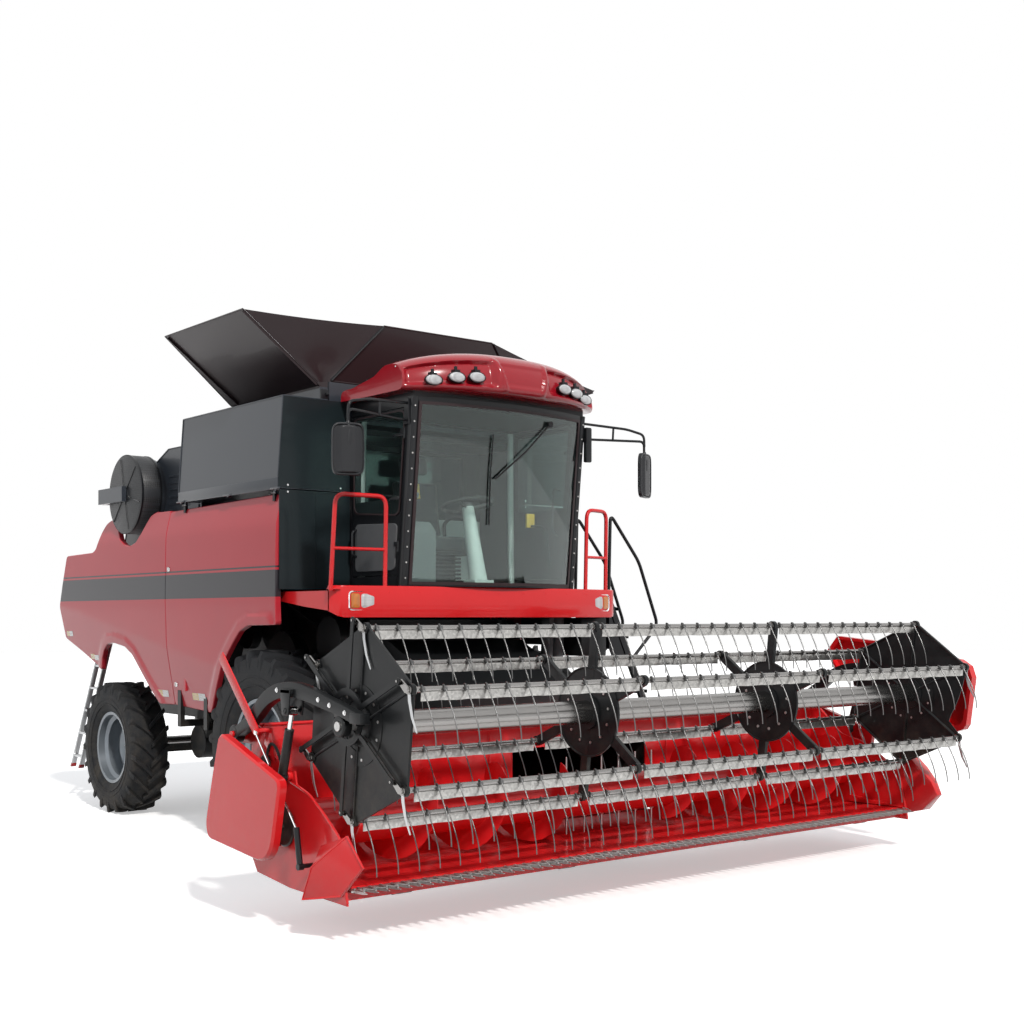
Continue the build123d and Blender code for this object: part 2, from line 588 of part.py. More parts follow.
def cab_frame():
    w = CAB_WALL
    step = TANK_FRONT - 20
    outline = [(front_at(CAB_FLOOR), CAB_FLOOR), (front_at(CAB_TOP), CAB_TOP), (step, CAB_TOP),
               (step, CAB_BACK_TOP),
               (CAB_REAR, CAB_BACK_TOP), (CAB_REAR, CAB_FLOOR)]
    inside = [(front_at(CAB_FLOOR) + w, CAB_FLOOR + w), (front_at(CAB_TOP) + w, CAB_TOP - w),
              (step - w, CAB_TOP - w),
              (step - w, CAB_BACK_TOP - w), (CAB_REAR - w, CAB_BACK_TOP - w), (CAB_REAR - w,
                                                            CAB_FLOOR + w)]
    cab = slab_x(outline, -CAB_HALF, CAB_HALF) - slab_x(inside, -CAB_HALF + w, CAB_HALF - w)
    door = slab_x(side_opening(DOOR_FRONT, DOOR_REAR, DOOR_LOW, DOOR_HIGH), -CAB_HALF - 50, CAB_HALF + 50)
    side, low, high = CAB_HALF - 60, CAB_FLOOR + w + CLEAR, CAB_TOP - w - CLEAR
    windscreen = slab_y([(-side, low), (-side, high), (side, high), (side, low)], -1600, -1000)
    back = slab_y([(-620, 2750), (-620, 3300), (620, 3300), (620, 2750)], 0, 200)
    cab = cab - door - windscreen - back
    for s in (-1, 1):
        for z in DOOR_HINGE_Z:
            place = door_hinge(s, z)
            y = place[1]
            x0, x1 = sorted((s * CAB_HALF, s * (CAB_HALF + 14)))
            cab = cab + hinge_fixed(place, DOOR_AXIS, DOOR_HINGE_RADIUS, DOOR_HINGE_HALF) + block(x0,
                                                            x1, y - 46, y - 4, z - 40, z - 4)
    return cab


def cab_door(s):
    x0, x1 = CAB_HALF - CAB_WALL, CAB_HALF
    leaf = slab_x(side_opening(DOOR_FRONT + DOOR_GAP, DOOR_REAR - DOOR_GAP, DOOR_LOW + DOOR_GAP,
                               DOOR_HIGH - DOOR_GAP), x0, x1)
    window = slab_x(side_opening(DOOR_FRONT + 55, DOOR_REAR - 55, WINDOW_LOW, WINDOW_HIGH), x0 - 10,
                    x1 + 10)
    leaf = leaf - window
    leaves = [leaf]
    for z in DOOR_HINGE_Z:
        x, y, z = door_hinge(1, z)
        leaves.append(hinge_turning((x, y, z), DOOR_AXIS, DOOR_HINGE_RADIUS, DOOR_HINGE_HALF))
        leaves.append(block(x1 - 10, x1 + 14, y + 8, y + 60, z + 2, z + 38))
    shape = join(leaves)
    return shape if s > 0 else other_side(shape)


def cab_glass():
    """The windscreen, a slice of a leaning ring, and the flat rear pane."""
    thick, low, high, bulge = 6, CAB_FLOOR + 40, CAB_TOP - 35, 130
    half = CAB_HALF - 45
    radius = (half * half + bulge * bulge) / (2 * bulge)
    centre = Vector(0, front_at(low) - bulge + radius, low)
    run = Vector(0, front_at(high) - front_at(low), high - low)
    outer = Solid.extrude(Face(Wire.make_circle(radius, Plane(centre))), run)
    inner = Solid.extrude(Face(Wire.make_circle(radius - thick, Plane(centre))), run)
    outline = [(front_at(low) - 300, low), (front_at(high) - 300, high), (front_at(high) - GAP, high),
               (front_at(low) - GAP, low)]
    windscreen = (outer - inner) & slab_x(outline, -half, half)
    rear_pane = slab_y([(-630, 2740), (-630, 3310), (630, 3310), (630, 2740)], CAB_REAR + GAP,
                       CAB_REAR + GAP + thick)
    return Compound(list(windscreen.solids()) + list(rear_pane.solids()))


def cab_roof():
    rear, crown = TANK_FRONT - 15, CAB_TOP + ROOF_CROWN
    side = [(-1610, CAB_TOP + 60), (-1560, CAB_TOP + 225), (-1470, crown - 50), (-1330, crown),
            (-1050, crown - 12), (rear, CAB_TOP + 145), (rear, CAB_TOP), (-1590, CAB_TOP)]
    front = [(-ROOF_HALF, CAB_TOP), (-ROOF_HALF, crown - 160), (-860, crown - 112), (-500, crown - 22),
             (-200, crown), (200, crown), (500, crown - 22), (860, crown - 112),
             (ROOF_HALF, crown - 160), (ROOF_HALF, CAB_TOP)]
    plan = [(-ROOF_HALF, rear), (-ROOF_HALF, -1330), (-800, -1470), (-400, -1580), (0, -1620),
            (400, -1580), (800, -1470),
            (ROOF_HALF, -1330), (ROOF_HALF, rear)]
    roof = slab_x(side, -ROOF_HALF - 10, ROOF_HALF + 10) & slab_y(front, -1700, 200) & slab_z(plan,
                                                            CAB_TOP - 50, crown + 50)
    # what overhangs the cab ends a little above the cab's top
    edge = block(-ROOF_HALF - 10, ROOF_HALF + 10, -1700, 200, CAB_TOP - 10, CAB_TOP + ROOF_LIFT)
    seat = block(-CAB_HALF, CAB_HALF, CAB_FRONT_TOP, 210, CAB_TOP - 20, CAB_TOP + ROOF_LIFT + 10)
    roof = roof - (edge - seat)
    # hollows under the brow that hold the lamps, and the plain panel between them
    for x0, x1 in ((-880, -270), (270, 880)):
        roof = roof - block(x0, x1, -1700, -1430, CAB_TOP + 62, CAB_TOP + 250)
    badge = slab_y([(-190, CAB_TOP + 240), (190, CAB_TOP + 240), (150, CAB_TOP + 90), (-150, CAB_TOP + 90)],
                   -1700, -1570)
    return roof - badge


def headlamp(s):
    return block(*sided(s, 1075, 1330), -1190, -1105, 1920, 2075)


def lamps():
    solids = []
    for s in (-1, 1):
        solids.append(headlamp(s))
        for x, y, up in ((442, -1560, 152), (602, -1520, 140), (766, -1460, 113)):
            solids.append(rod((s * x, y, CAB_TOP + up), (s * x, -1430, CAB_TOP + up), 48))
    return Compound([p for solid in solids for p in solid.solids()])


def platform_front(x):
    """The bowed front of the platform: its y at each x."""
    return PLATFORM_FRONT + PLATFORM_BOW * (abs(x) / PLATFORM_HALF) ** 2.2


def platform():
    front = [(x, platform_front(x)) for x in [PLATFORM_HALF * k / 8 for k in range(-8, 9)]]
    outline = [(-PLATFORM_HALF, -330)] + front + [(PLATFORM_HALF, -330)]
    inside = [(-PLATFORM_HALF + 30, -360)]
    inside += [(x * (1 - 30 / PLATFORM_HALF), y + 30) for x, y in front] + [(PLATFORM_HALF - 30, -360)]
    deck = slab_z(outline, PLATFORM_LOW, PLATFORM_TOP) - slab_z(inside, PLATFORM_LOW - 10,
                                                            PLATFORM_TOP - SHEET)
    # the front sheet stands a little above the deck
    lip = front[1:-1] + [(x, y + SHEET) for x, y in reversed(front[1:-1])]
    deck = deck + slab_z(lip, PLATFORM_TOP - 5, PLATFORM_TOP + PLATFORM_LIP)
    for s in (-1, 1):
        deck = deck - headlamp(s)
    pieces = [deck]
    # bearers inside the deck, struts down to the rails, and pads for the cab
    for s in (-1, 1):
        pieces.append(block(*sided(s, 560, 640), -1100, -340, PLATFORM_LOW + 10, PLATFORM_TOP - 10))
        pieces.append(block(*sided(s, 710, 770), -420, -370, RAIL_TOP, PLATFORM_TOP - 10))
        pieces.append(block(*sided(s, 520, 770), -420, -370, RAIL_TOP, RAIL_TOP + 45))
        pieces.append(block(*sided(s, 560, 640), -345, 60, 1860, CAB_FLOOR))
    # ears that hold the upright post of the steps
    x, y = LADDER_PIN
    for low in (1890, 1930):
        ear = block(PLATFORM_HALF - 20, x, y - 26, y + 26, low, low + 28) + rod((x, y, low),
                                                            (x, y, low + 28), 26)
        pieces.append(ear)
    r = 17
    right = [(-1460, -1130, PLATFORM_TOP - 8), (-1460, -1180, 2790), (-1020, -1190, 2790),
             (-1020, -1150, PLATFORM_TOP - 8)]
    hoops = [pipe(right, r, 60)]
    hoops.append(rod((-1460, -1158, 2390), (-1020, -1167, 2390), 13))
    left = [(1020, -1150, PLATFORM_TOP - 8), (1020, -1190, 2790), (1300, -1130, 2790),
            (1300, -1080, PLATFORM_TOP - 8)]
    hoops.append(pipe(left, r, 60))
    hoops.append(rod((1020, -1167, 2390), (1300, -1105, 2390), 13))
    whole = join(pieces + hoops)
    return whole - rod((x, y, 1870), (x, y, 1975), LADDER_POST + PIN_FIT)


def mirrors():
    pieces = []
    r = 12
    for s in (-1, 1):
        low = [(s * 880, -1270, 3370), (s * 1500, -1400, 3400), (s * 1500, -1400, 3180)]
        high = [(s * 880, -1290, 3500), (s * 1480, -1400, 3480), (s * 1500, -1400, 3400)]
        tubes = [rod(low[0], low[1], r), rod(low[1], low[2], r), rod(high[0], high[1], r),
                 rod(high[1], high[2], r)]
        elbows = [Pos(*low[1]) * Sphere(r + 1), Pos(*high[1]) * Sphere(r + 1)]
        glass = block(s * 1490 - 130, s * 1490 + 130, -1425, -1375, 2900, 3290)
        foot = block(*sided(s, CAB_HALF, 892), -1300, -1250, 3350, 3515)
        pieces.append(join(tubes + elbows + [glass, foot]))
    return Compound([p for piece in pieces for p in piece.solids()])


def operator_seat():
    base = block(-220, 220, -560, -120, CAB_FLOOR + CAB_WALL, 2420)
    cushion = block(-250, 250, -640, -130, 2420, 2550)
    back = slab_x([(-200, 2550), (-110, 2550), (-40, 3100), (-110, 3100)], -235, 235)
    head = slab_x([(-120, 3100), (-50, 3100), (-30, 3280), (-90, 3280)], -140, 140)
    return join([base, cushion, back, head])


def steering_column():
    foot = (0, -1010, CAB_FLOOR + CAB_WALL + 20)
    top = (0, -860, 2800)
    column = rod(foot, top, 45) + block(-80, 80, -1080, -940, CAB_FLOOR + CAB_WALL,
                                        CAB_FLOOR + CAB_WALL + 50)
    axis = Vector(*top) - Vector(*foot)
    wheel = Plane(origin=top, z_dir=axis) * Torus(200, 15)
    spokes = Plane(origin=top, z_dir=axis) * (Box(390, 30, 14) + Box(30, 390, 14))
    return join([column, wheel, spokes])


def access_ladder():
    """The steps at the left, with their hand rails, that swing forward on an upright post."""
    y0, y1 = -960, -520
    top, foot = (1490, 2040), (2190, 560)
    pieces = []
    for y in (y0, y1):
        pieces.append(prism([(top[0] - 30, y, top[1]), (top[0] + 40, y, top[1]),
                             (foot[0] + 40, y, foot[1]),
                             (foot[0] - 30, y, foot[1])], (0, 25, 0)))
    for step in range(6):
        share = (step + 0.35) / 6
        x = top[0] + (foot[0] - top[0]) * share
        z = top[1] + (foot[1] - top[1]) * share
        pieces.append(block(x - 35, x + 90, y0 + 5, y1 + 20, z - 15, z + 15))
    for y in (y0 + 12, y1 + 12):
        rail = [(1500, y, 2060), (1520, y, 2790), (1870, y, 2380), (2110, y, 1810), (1780, y, 1500)]
        pieces.append(pipe(rail, 15, 70))
    post = rod((LADDER_PIN[0], LADDER_PIN[1], 1882), (LADDER_PIN[0], LADDER_PIN[1], 2055), LADDER_POST)
    pieces.append(post)
    pieces.append(block(LADDER_PIN[0], 1510, y0, y0 + 25, 1975, 2055))
    return join(pieces)


def rear_ladder():
    pieces = []
    near, far, thick = 3940, 4150, 26
    for y in (near, far):
        pieces.append(prism([(-1010, y, 1720), (-960, y, 1720), (-1300, y, 330), (-1350, y, 330)],
                            (0, thick, 0)))
    for step in range(6):
        share = (step + 0.5) / 6
        x, z = -985 - 340 * share, 1720 - 1390 * share
        pieces.append(block(x - 26, x + 26, near + 5, far + 5, z - 14, z + 14))
    pieces.append(block(-1030, -940, 3930, far + thick, 1695, 1760))
    return join(pieces)


# ---- cutting table -------------------------------------------------------------------
def header_frame():
    t = SHEET

    back = AUGER_Y + TROUGH_RADIUS
    front_edge = KNIFE_Y + 60
    # floor, trough and back wall as one folded sheet
    def fold(r):
        lip = (front_edge, KNIFE_Z + 8 - (r - TROUGH_RADIUS))
        turn = math.radians(250)
        start = (AUGER_Y + r * math.cos(turn), AUGER_Z + r * math.sin(turn))
        middle = (AUGER_Y + r * math.cos(math.radians(300)), AUGER_Z + r * math.sin(math.radians(300)))
        return lip, start, middle, (AUGER_Y + r, AUGER_Z), (AUGER_Y + r, TABLE_BACK_TOP)
    a, b = fold(TROUGH_RADIUS), fold(TROUGH_RADIUS + t)
    at = lambda p: Vector(-END_X, *p)
    edges = [Edge.make_line(at(a[0]), at(a[1])), Edge.make_three_point_arc(at(a[1]), at(a[2]), at(a[3])),
             Edge.make_line(at(a[3]), at(a[4])), Edge.make_line(at(a[4]),
                                                            at(b[4])), Edge.make_line(at(b[4]), at(b[3])),
             Edge.make_three_point_arc(at(b[3]), at(b[2]), at(b[1])), Edge.make_line(at(b[1]), at(b[0])),
             Edge.make_line(at(b[0]), at(a[0]))]
    sheet = Solid.extrude(Face(Wire(edges)), Vector(2 * END_X, 0, 0))
    mouth = block(-FEEDER_HALF + 30, FEEDER_HALF - 30, AUGER_Y + 120, back + 100, FEEDER_LOW + 16,
                  FEEDER_HIGH - 16)
    sheet = sheet - mouth
    pieces = [sheet]
    end = [(-3235, 250), (-3150, 620), (-2980, 740), (-2810, 840), (-2580, 900), (-2250, 1190),
           (-2130, 1215), (-2110, 420),
           (-2200, 300), (-2600, 260)]
    for s in (-1, 1):
        pieces.append(slab_x(end, *sided(s, END_X, END_X + t)))
    # box tubes along the back and under the floor, and uprights beside the mouth
    top_tube = block(-END_X, END_X, back + t - 2, back + t + 130, TABLE_BACK_TOP - 130, TABLE_BACK_TOP)
    low_tube = block(-END_X, END_X, back + t - 2, back + t + 110, AUGER_Z - 110, AUGER_Z - 6)
    low_tube = low_tube - block(-FEEDER_HALF - 10, FEEDER_HALF + 10, back, back + 300, FEEDER_LOW - 100,
                                FEEDER_HIGH)
    pieces += [top_tube, low_tube]
    for s in (-1, 1):
        for x in (FEEDER_HALF + 40, 1700):
            pieces.append(block(*sided(s, x - 35, x + 35), back + t, back + t + 100, AUGER_Z - 60,
                                TABLE_BACK_TOP - 60))
    pieces.append(block(-END_X, END_X, KNIFE_Y + 60, KNIFE_Y + 130, KNIFE_Z - 70, KNIFE_Z - 8))
    for x in (-2200, -900, 900, 2200):
        skid = [(KNIFE_Y + 70, 275), (KNIFE_Y + 130, 250), (-2650, 250), (-2600, 300), (-2620, 330),
                (KNIFE_Y + 70, 330)]
        pieces.append(slab_x(skid, x - 60, x + 60))
    # lugs for the reel arms and the reel cylinders' feet
    for s in (-1, 1):
        foot = [(-2680, 850), (-2655, 965), (-2570, 965), (-2545, 880)]
        pieces.append(slab_x(foot, *sided(s, END_X, END_X + t)))
        pieces.append(slab_x([(-2130, 1215), (-2000, 1215), (-2000, 1090), (-2130, 1090)],
                             *sided(s, END_X, END_X + t)))
        pieces.append(disc_x(*sided(s, END_X + t, ARM_X - 30 - 1), REEL_PIVOT_Y, REEL_PIVOT_Z, 40))
        pieces.append(disc_x(*sided(s, ARM_X - 40, ARM_X + 45), REEL_PIVOT_Y, REEL_PIVOT_Z, 20))
        pieces.append(disc_x(*sided(s, END_X + t, REEL_RAM_X + 26), *REEL_RAM_LOW, 14))
        pieces.append(disc_x(*sided(s, END_X + t, REEL_RAM_X - 30), *REEL_RAM_LOW, 26))
    # bearings of the feeding auger
    for s in (-1, 1):
        pieces.append(disc_x(*sided(s, END_X - 40, END_X + t), AUGER_Y, AUGER_Z, 34.9))
    return join(pieces)


def feeder_house():
    t = SHEET
    back = AUGER_Y + TROUGH_RADIUS + t
    rear = LIFT_PIVOT_Y
    outer = [(back, FEEDER_LOW), (back, FEEDER_HIGH), (-720, 1690), (rear, 1700), (rear, 1130),
             (-700, 1040)]
    inner = [(back - 50, FEEDER_LOW + t), (back, FEEDER_HIGH - t), (-715, 1690 - t),
             (rear + 50, 1700 - t),
             (rear + 50, 1130 + t), (-695, 1040 + t)]
    half = FEEDER_HALF - 10
    house = slab_x(outer, -half, half) - slab_x(inner, -half + t, half - t)
    for s in (-1, 1):
        house = house + disc_x(*sided(s, half - 28, half), LIFT_PIVOT_Y, LIFT_PIVOT_Z, 60)
    house = house - disc_x(-BODY_HALF, BODY_HALF, LIFT_PIVOT_Y, LIFT_PIVOT_Z, 30 + PIN_FIT)
    pieces = [house]
    for s in (-1, 1):
        # lugs under the house for the lift cylinders' rod eyes
        for side in (-1, 1):
            x = s * LIFT_X + side * 42
            pieces.append(slab_x([(-1800, 601), (-1600, 682), (-1640, LIFT_HIGH[1] - 30),
                                  (-1760, LIFT_HIGH[1] - 30)], x - 8, x + 8))
        pieces.append(disc_x(s * LIFT_X - 50, s * LIFT_X + 50, *LIFT_HIGH, 18))
    return join(pieces)


def header_end_shields():
    """Crop dividers and the covers over the drives, at both ends."""
    x0 = END_X + SHEET
    near = [(-3405, 491), (-3233, 645), (-3016, 560), (-2900, 449), (-2900, 250), (-3181, 308)]
    far = [(-3505, 471), (-3445, 576), (-3225, 770), (-2990, 640), (-2900, 449), (-2900, 250),
           (-3187, 292), (-3366, 336)]
    slope = slab_z([(x0, -3700), (x0 + 170, -3700), (x0 + 170, -3200)], 100, 900)
    points = [other_side(slab_x(near, x0 + GAP, 2790) - slope), slab_x(far, x0 + GAP, 2790) - slope]
    outline = [(-2050, 1170), (-2800, 930), (-2710, 540), (-2650, 460), (-2560, 430), (-1890, 490),
               (-1860, 580), (-1950, 880)]
    cover = slab_x(outline, COVER_X - 60, COVER_X) - slab_x([(y * 0.985 - 36, z * 0.94 + 45) for y,
                                                            z in outline],
                                                          COVER_X - 80, COVER_X - SHEET)
    stay = [block(x0 + GAP, COVER_X - 6, y - 20, y + 20, z - 20, z + 20) for y,
            z in ((-2500, 520), (-2180, 600), (-2180, 900))]
    side = join([cover] + stay)
    return Compound([p for shape in points + [both_sides(side)] for p in shape.solids()])


def cutter_bar():
    """The finger bar: one row of guards along the front edge."""
    pitch, tooth = 76.2, 22
    count = int(2 * CUT_HALF // pitch)
    start = -count * pitch / 2
    outline = [(start, KNIFE_Y + 60), (start, KNIFE_Y)]
    for k in range(count):
        x = start + k * pitch + pitch / 2
        outline += [(x - tooth, KNIFE_Y), (x - 6, KNIFE_Y - 100), (x + 6, KNIFE_Y - 100),
                    (x + tooth, KNIFE_Y)]
    outline += [(-start, KNIFE_Y), (-start, KNIFE_Y + 60)]
    return slab_z(outline, KNIFE_Z - 20, KNIFE_Z - 2)


def knife():
    pitch = 76.2
    count = int(2 * CUT_HALF // pitch) - 2
    start = -count * pitch / 2
    outline = [(start, KNIFE_Y + 30), (start, KNIFE_Y)]
    for k in range(count):
        x = start + k * pitch
        outline += [(x + 2, KNIFE_Y), (x + pitch / 2 - 8, KNIFE_Y - 55),
                    (x + pitch / 2 + 8, KNIFE_Y - 55), (x + pitch - 2, KNIFE_Y)]
    outline += [(-start, KNIFE_Y), (-start, KNIFE_Y + 30)]
    return slab_z(outline, KNIFE_Z - 1.7, KNIFE_Z + 4)


def header_auger():
    reach = END_X - 12
    tube_part = disc_x(-reach, reach, AUGER_Y, AUGER_Z, AUGER_TUBE)
    for s in (-1, 1):
        tube_part = tube_part - disc_x(*sided(s, END_X - 60, END_X), AUGER_Y, AUGER_Z, 35)
    return tube_part


def reel_arms():
    """The bent side arms, one at each end, with their shaft blocks and the ears for the rams."""
    spine = [(-2050, 1150), (-2190, 1215), (-2300, 1278), (-2423, 1380), (-2564, 1438), (-2760, 1462),
             (-2948, 1436), (-3130, 1396), (-3306, 1362), (-3460, 1322)]
    half, boss = 42, 62
    pieces = []
    for s in (-1, 1):
        x0, x1 = sorted((s * (ARM_X - 30), s * (ARM_X + 30)))
        bars = [beam(p, q, 2 * half, x0, x1) for p, q in zip(spine, spine[1:])]
        knees = [disc_x(x0, x1, y, z, half) for y, z in spine]
        arm = join(bars + knees)
        arm = arm + disc_x(x0, x1, REEL_PIVOT_Y, REEL_PIVOT_Z, boss)
        arm = arm + disc_x(x0, x1, REEL_Y, REEL_Z, boss)
        arm = arm + block(x0, x1, REEL_Y - boss, REEL_Y + boss, REEL_Z, REEL_Z + 100)
        arm = arm - disc_x(x0 - 5, x1 + 5, REEL_PIVOT_Y, REEL_PIVOT_Z, 20.05)
        arm = arm - disc_x(x0 - 5, x1 + 5, REEL_Y, REEL_Z, 28.05)
        pieces.append(arm)
        near, far = sorted((s * (REEL_RAM_X - 52), s * (REEL_RAM_X + 52)))
        pieces.append(block(near, far, -2785, -2675, 1432, 1462))
        for a, b in ((near, near + 10), (far - 10, far)):
            pieces.append(slab_x([(-2790, 1460), (-2670, 1460), (-2690, 1300), (-2770, 1300)], a, b))
        pieces.append(disc_x(near, far, *REEL_RAM_HIGH, 13))
    return join(pieces)


def bat_centres(radius=REEL_RADIUS):
    return [reel_point(BAT_START + k * 360 / BATS, radius) for k in range(BATS)]


def reel_rotor():
    """The centre tube and its plates: closed six-sided ones at the ends, open arms between."""
    pieces = [disc_x(-REEL_PLATES[-1], REEL_PLATES[-1], REEL_Y, REEL_Z, REEL_TUBE)]
    pieces.append(disc_x(-(ARM_X + 40), ARM_X + 40, REEL_Y, REEL_Z, REEL_SHAFT))
    half = REEL_PLATE / 2
    for x in REEL_PLATES:
        if abs(x) == REEL_PLATES[-1]:
            plate = slab_x(bat_centres(REEL_RADIUS + 25), x - half, x + half)
        else:
            plate = disc_x(x - half, x + half, REEL_Y, REEL_Z, SPIDER_DISC)
        for y, z in bat_centres():
            plate = plate + beam((REEL_Y, REEL_Z), (y, z), SPIDER_ARM, x - half, x + half)
            plate = plate + disc_x(x - half, x + half, y, z, 38)
        for y, z in bat_centres():
            plate = plate - disc_x(x - 10, x + 10, y, z, BAT_TUBE + PIN_FIT)
        pieces.append(plate)
    return join(pieces)


def tine(y, z, x):
    """One spring tine: down in front of its strip, forward in a bow, then down again."""
    shares = [(0.0, 0.03), (0.10, 0.13), (0.15, 0.25), (0.23, 0.35), (0.44, 0.49), (0.68, 0.62), (0.84, 0.75),
              (0.94, 0.88), (1.0, 1.0)]
    line = [(y - TINE_REACH * a, z - TINE_DROP * b) for a, b in shares]
    half = TINE_WIRE / 2
    outline = [(p - half, q) for p, q in line] + [(p + half, q) for p, q in reversed(line)]
    return slab_x(outline, x - half, x + half)


def reel_bat(k):
    """One bat: its tube, strips and tines between the plates, and the crank at its right end."""
    y, z = bat_centres()[k]
    crank_y, crank_z = y + CRANK[0], z + CRANK[1]
    pieces = [disc_x(-CRANK_X - 8, REEL_HALF, y, z, BAT_TUBE)]
    for a, b in zip(REEL_PLATES, REEL_PLATES[1:]):
        pieces.append(block(a + 50, b - 50, y - 3, y + 3, z - BAT_STRIP, z))
        pitch = (b - a - 160) / (TINES - 1)
        pieces += [tine(y, z, a + 80 + i * pitch) for i in range(TINES)]
    pieces.append(beam((y, z), (crank_y, crank_z), 30, -CRANK_X - 8, -CRANK_X))
    pieces.append(disc_x(-CRANK_X - 8, -CRANK_X, crank_y, crank_z, 15))
    pieces.append(disc_x(-CONTROL_X - 10, -CRANK_X, crank_y, crank_z, CRANK_PIN))
    return join(pieces)


def reel_control():
    """The off-centre ring whose arms hold the bats' cranks, so that the bats stay upright."""
    x0, x1 = -CONTROL_X - 8, -CONTROL_X
    centre = (REEL_Y + CRANK[0], REEL_Z + CRANK[1])
    shape = disc_x(x0, x1, *centre, CONTROL_RING[0])
    pins = [(y + CRANK[0], z + CRANK[1]) for y, z in bat_centres()]
    for pin in pins:
        shape = shape + beam(centre, pin, CONTROL_ARM, x0, x1) + disc_x(x0, x1, *pin, 20)
    shape = shape - disc_x(x0 - 5, x1 + 5, *centre, CONTROL_RING[1])
    for pin in pins:
        shape = shape - disc_x(x0 - 5, x1 + 5, *pin, CRANK_PIN + PIN_FIT)
    return shape


def reel_drive_guard():
    outline = [(-2320, 1580), (-2440, 1720), (-2860, 1680), (-3413, 1580), (-3626, 1546), (-3706, 1496),
               (-3738, 1406), (-3686, 1034), (-3661, 996), (-3590, 971), (-3508, 1003), (-3330, 1180),
               (-2800, 1330), (-2420, 1440)]
    x0, x1 = ARM_X + 60, COVER_X - 5
    shell = slab_x(outline, x0, x1)
    middle = Vector(0, -3050, 1440)
    inside = [(middle.Y + (y - middle.Y) * 0.955, middle.Z + (z - middle.Z) * 0.90) for y, z in outline]
    shell = shell - slab_x(inside, x0 - 10, x1 - SHEET)
    stay = [block(ARM_X + 30, x1 - 4, y - 25, y + 25, z - 20, z + 20) for y,
            z in ((-2600, 1475), (-3120, 1400))]
    return join([shell] + stay)


def ram(low, high, x_list, barrel_radius, rod_radius, eye, half, barrel_share, retract):
    """A cylinder's barrel and rod between two (y, z) pins, on each of several x."""
    a, b = Vector(0, *low), Vector(0, *high)
    along = (b - a).normalized()
    reach = (b - a).length
    barrels, rods = [], []
    for x in x_list:
        shift = Vector(x, 0, 0)
        mouth = a + along * (reach * barrel_share)
        start = a + along * (eye * 0.8)
        body = rod(tuple(start + shift), tuple(mouth + shift), barrel_radius)
        body = body + disc_x(x - half, x + half, low[0], low[1], eye)
        bore_from = a + along * (eye * 0.8 + 30)
        body = body - rod(tuple(bore_from + shift), tuple(mouth + along * 5 + shift), rod_radius + 0.05)
        barrels.append(body)
        inner = a + along * (eye * 0.8 + 30 + retract)
        tip = b - along * (eye * 0.5)
        rods.append(rod(tuple(inner + shift), tuple(tip + shift), rod_radius) + disc_x(x - half,
                                                            x + half, high[0], high[1], eye))
    return barrels, rods


def lift_rams():
    pin_low, pin_high = 20, 18
    barrels, rods = ram(LIFT_LOW, LIFT_HIGH, (-LIFT_X, LIFT_X), 45, 27, 42, 33, 0.55, 80)
    barrels = [b - disc_x(-600, 600, *LIFT_LOW, pin_low + PIN_FIT) for b in barrels]
    rods = [r - disc_x(-600, 600, *LIFT_HIGH, pin_high + 7) for r in rods]
    return barrels, rods


def reel_rams():
    xs = (-REEL_RAM_X, REEL_RAM_X)
    barrels, rods = ram(REEL_RAM_LOW, REEL_RAM_HIGH, xs, 28, 14, 27, 24, 0.72, 15)
    barrels = [b - disc_x(-3000, 3000, *REEL_RAM_LOW, 14.05) for b in barrels]
    rods = [r - disc_x(-3000, 3000, *REEL_RAM_HIGH, 13 + 4) for r in rods]
    return barrels, rods


# ---- the whole machine ---------------------------------------------------------------
def build():
    lift_barrels, lift_rods = lift_rams()
    reel_barrels, reel_rods = reel_rams()
    nodes = {
        "chassis_frame": chassis_frame(), "front_axle": front_axle(), "rear_axle": rear_axle(),
        "threshing_body": threshing_body(), "straw_hood": straw_hood(), "grain_tank": grain_tank(),
        "engine_hood": engine_hood(), "engine": engine(), "cab_frame": cab_frame(), "cab_roof": cab_roof(),
        "cab_glass": cab_glass(), "operator_seat": operator_seat(), "steering_column": steering_column(),
        "platform": platform(), "lamps": lamps(), "mirrors": mirrors(), "rear_ladder": rear_ladder(),
        "rear_side_panels": rear_side_panels(), "tie_rod": tie_rod(), "feeder_house": feeder_house(),
        "header_frame": header_frame(), "cutter_bar": cutter_bar(), "knife": knife(),
        "header_auger": header_auger(), "header_end_shields": header_end_shields(),
        "reel_drive_guard": reel_drive_guard(), "reel_arms": reel_arms(),
        "reel_rotor": reel_rotor(), "lift_barrels": Compound([s for b in lift_barrels for s in b.solids()]),
        "lift_rods": Compound([s for b in lift_rods for s in b.solids()]),
        "reel_lift_barrels": Compound([s for b in reel_barrels for s in b.solids()]),
        "reel_lift_rods": Compound([s for b in reel_rods for s in b.solids()]),
        "dust_screen": dust_screen(), "unloading_auger": unloading_auger(),
        "access_ladder": access_ladder(),
        "tank_flap_front": end_flap(-1, HATCH_FRONT, 75, 500),
        "tank_flap_rear": end_flap(1, HATCH_REAR, 75, 500),
    }
    for name, s in (("left", 1), ("right", -1)):
        nodes["front_tyre_" + name] = tyre(front_wheel, s)
        nodes["rear_tyre_" + name] = tyre(rear_wheel, s)
        nodes["front_rim_" + name] = front_rim(s)
        nodes["rear_rim_" + name] = rear_rim(s)
        nodes["knuckle_" + name] = knuckle(s)
        nodes["side_shield_" + name] = side_shield(s)
        nodes["cab_door_" + name] = cab_door(s)
        flap = FLAPS["tank_flap_" + name]
        nodes["tank_flap_" + name] = side_flap(s, flap["slope"], flap["length"])
    for k in range(BATS):
        nodes["reel_bat_%d" % (k + 1)] = reel_bat(k)
    nodes["reel_control"] = reel_control()
    return nodes


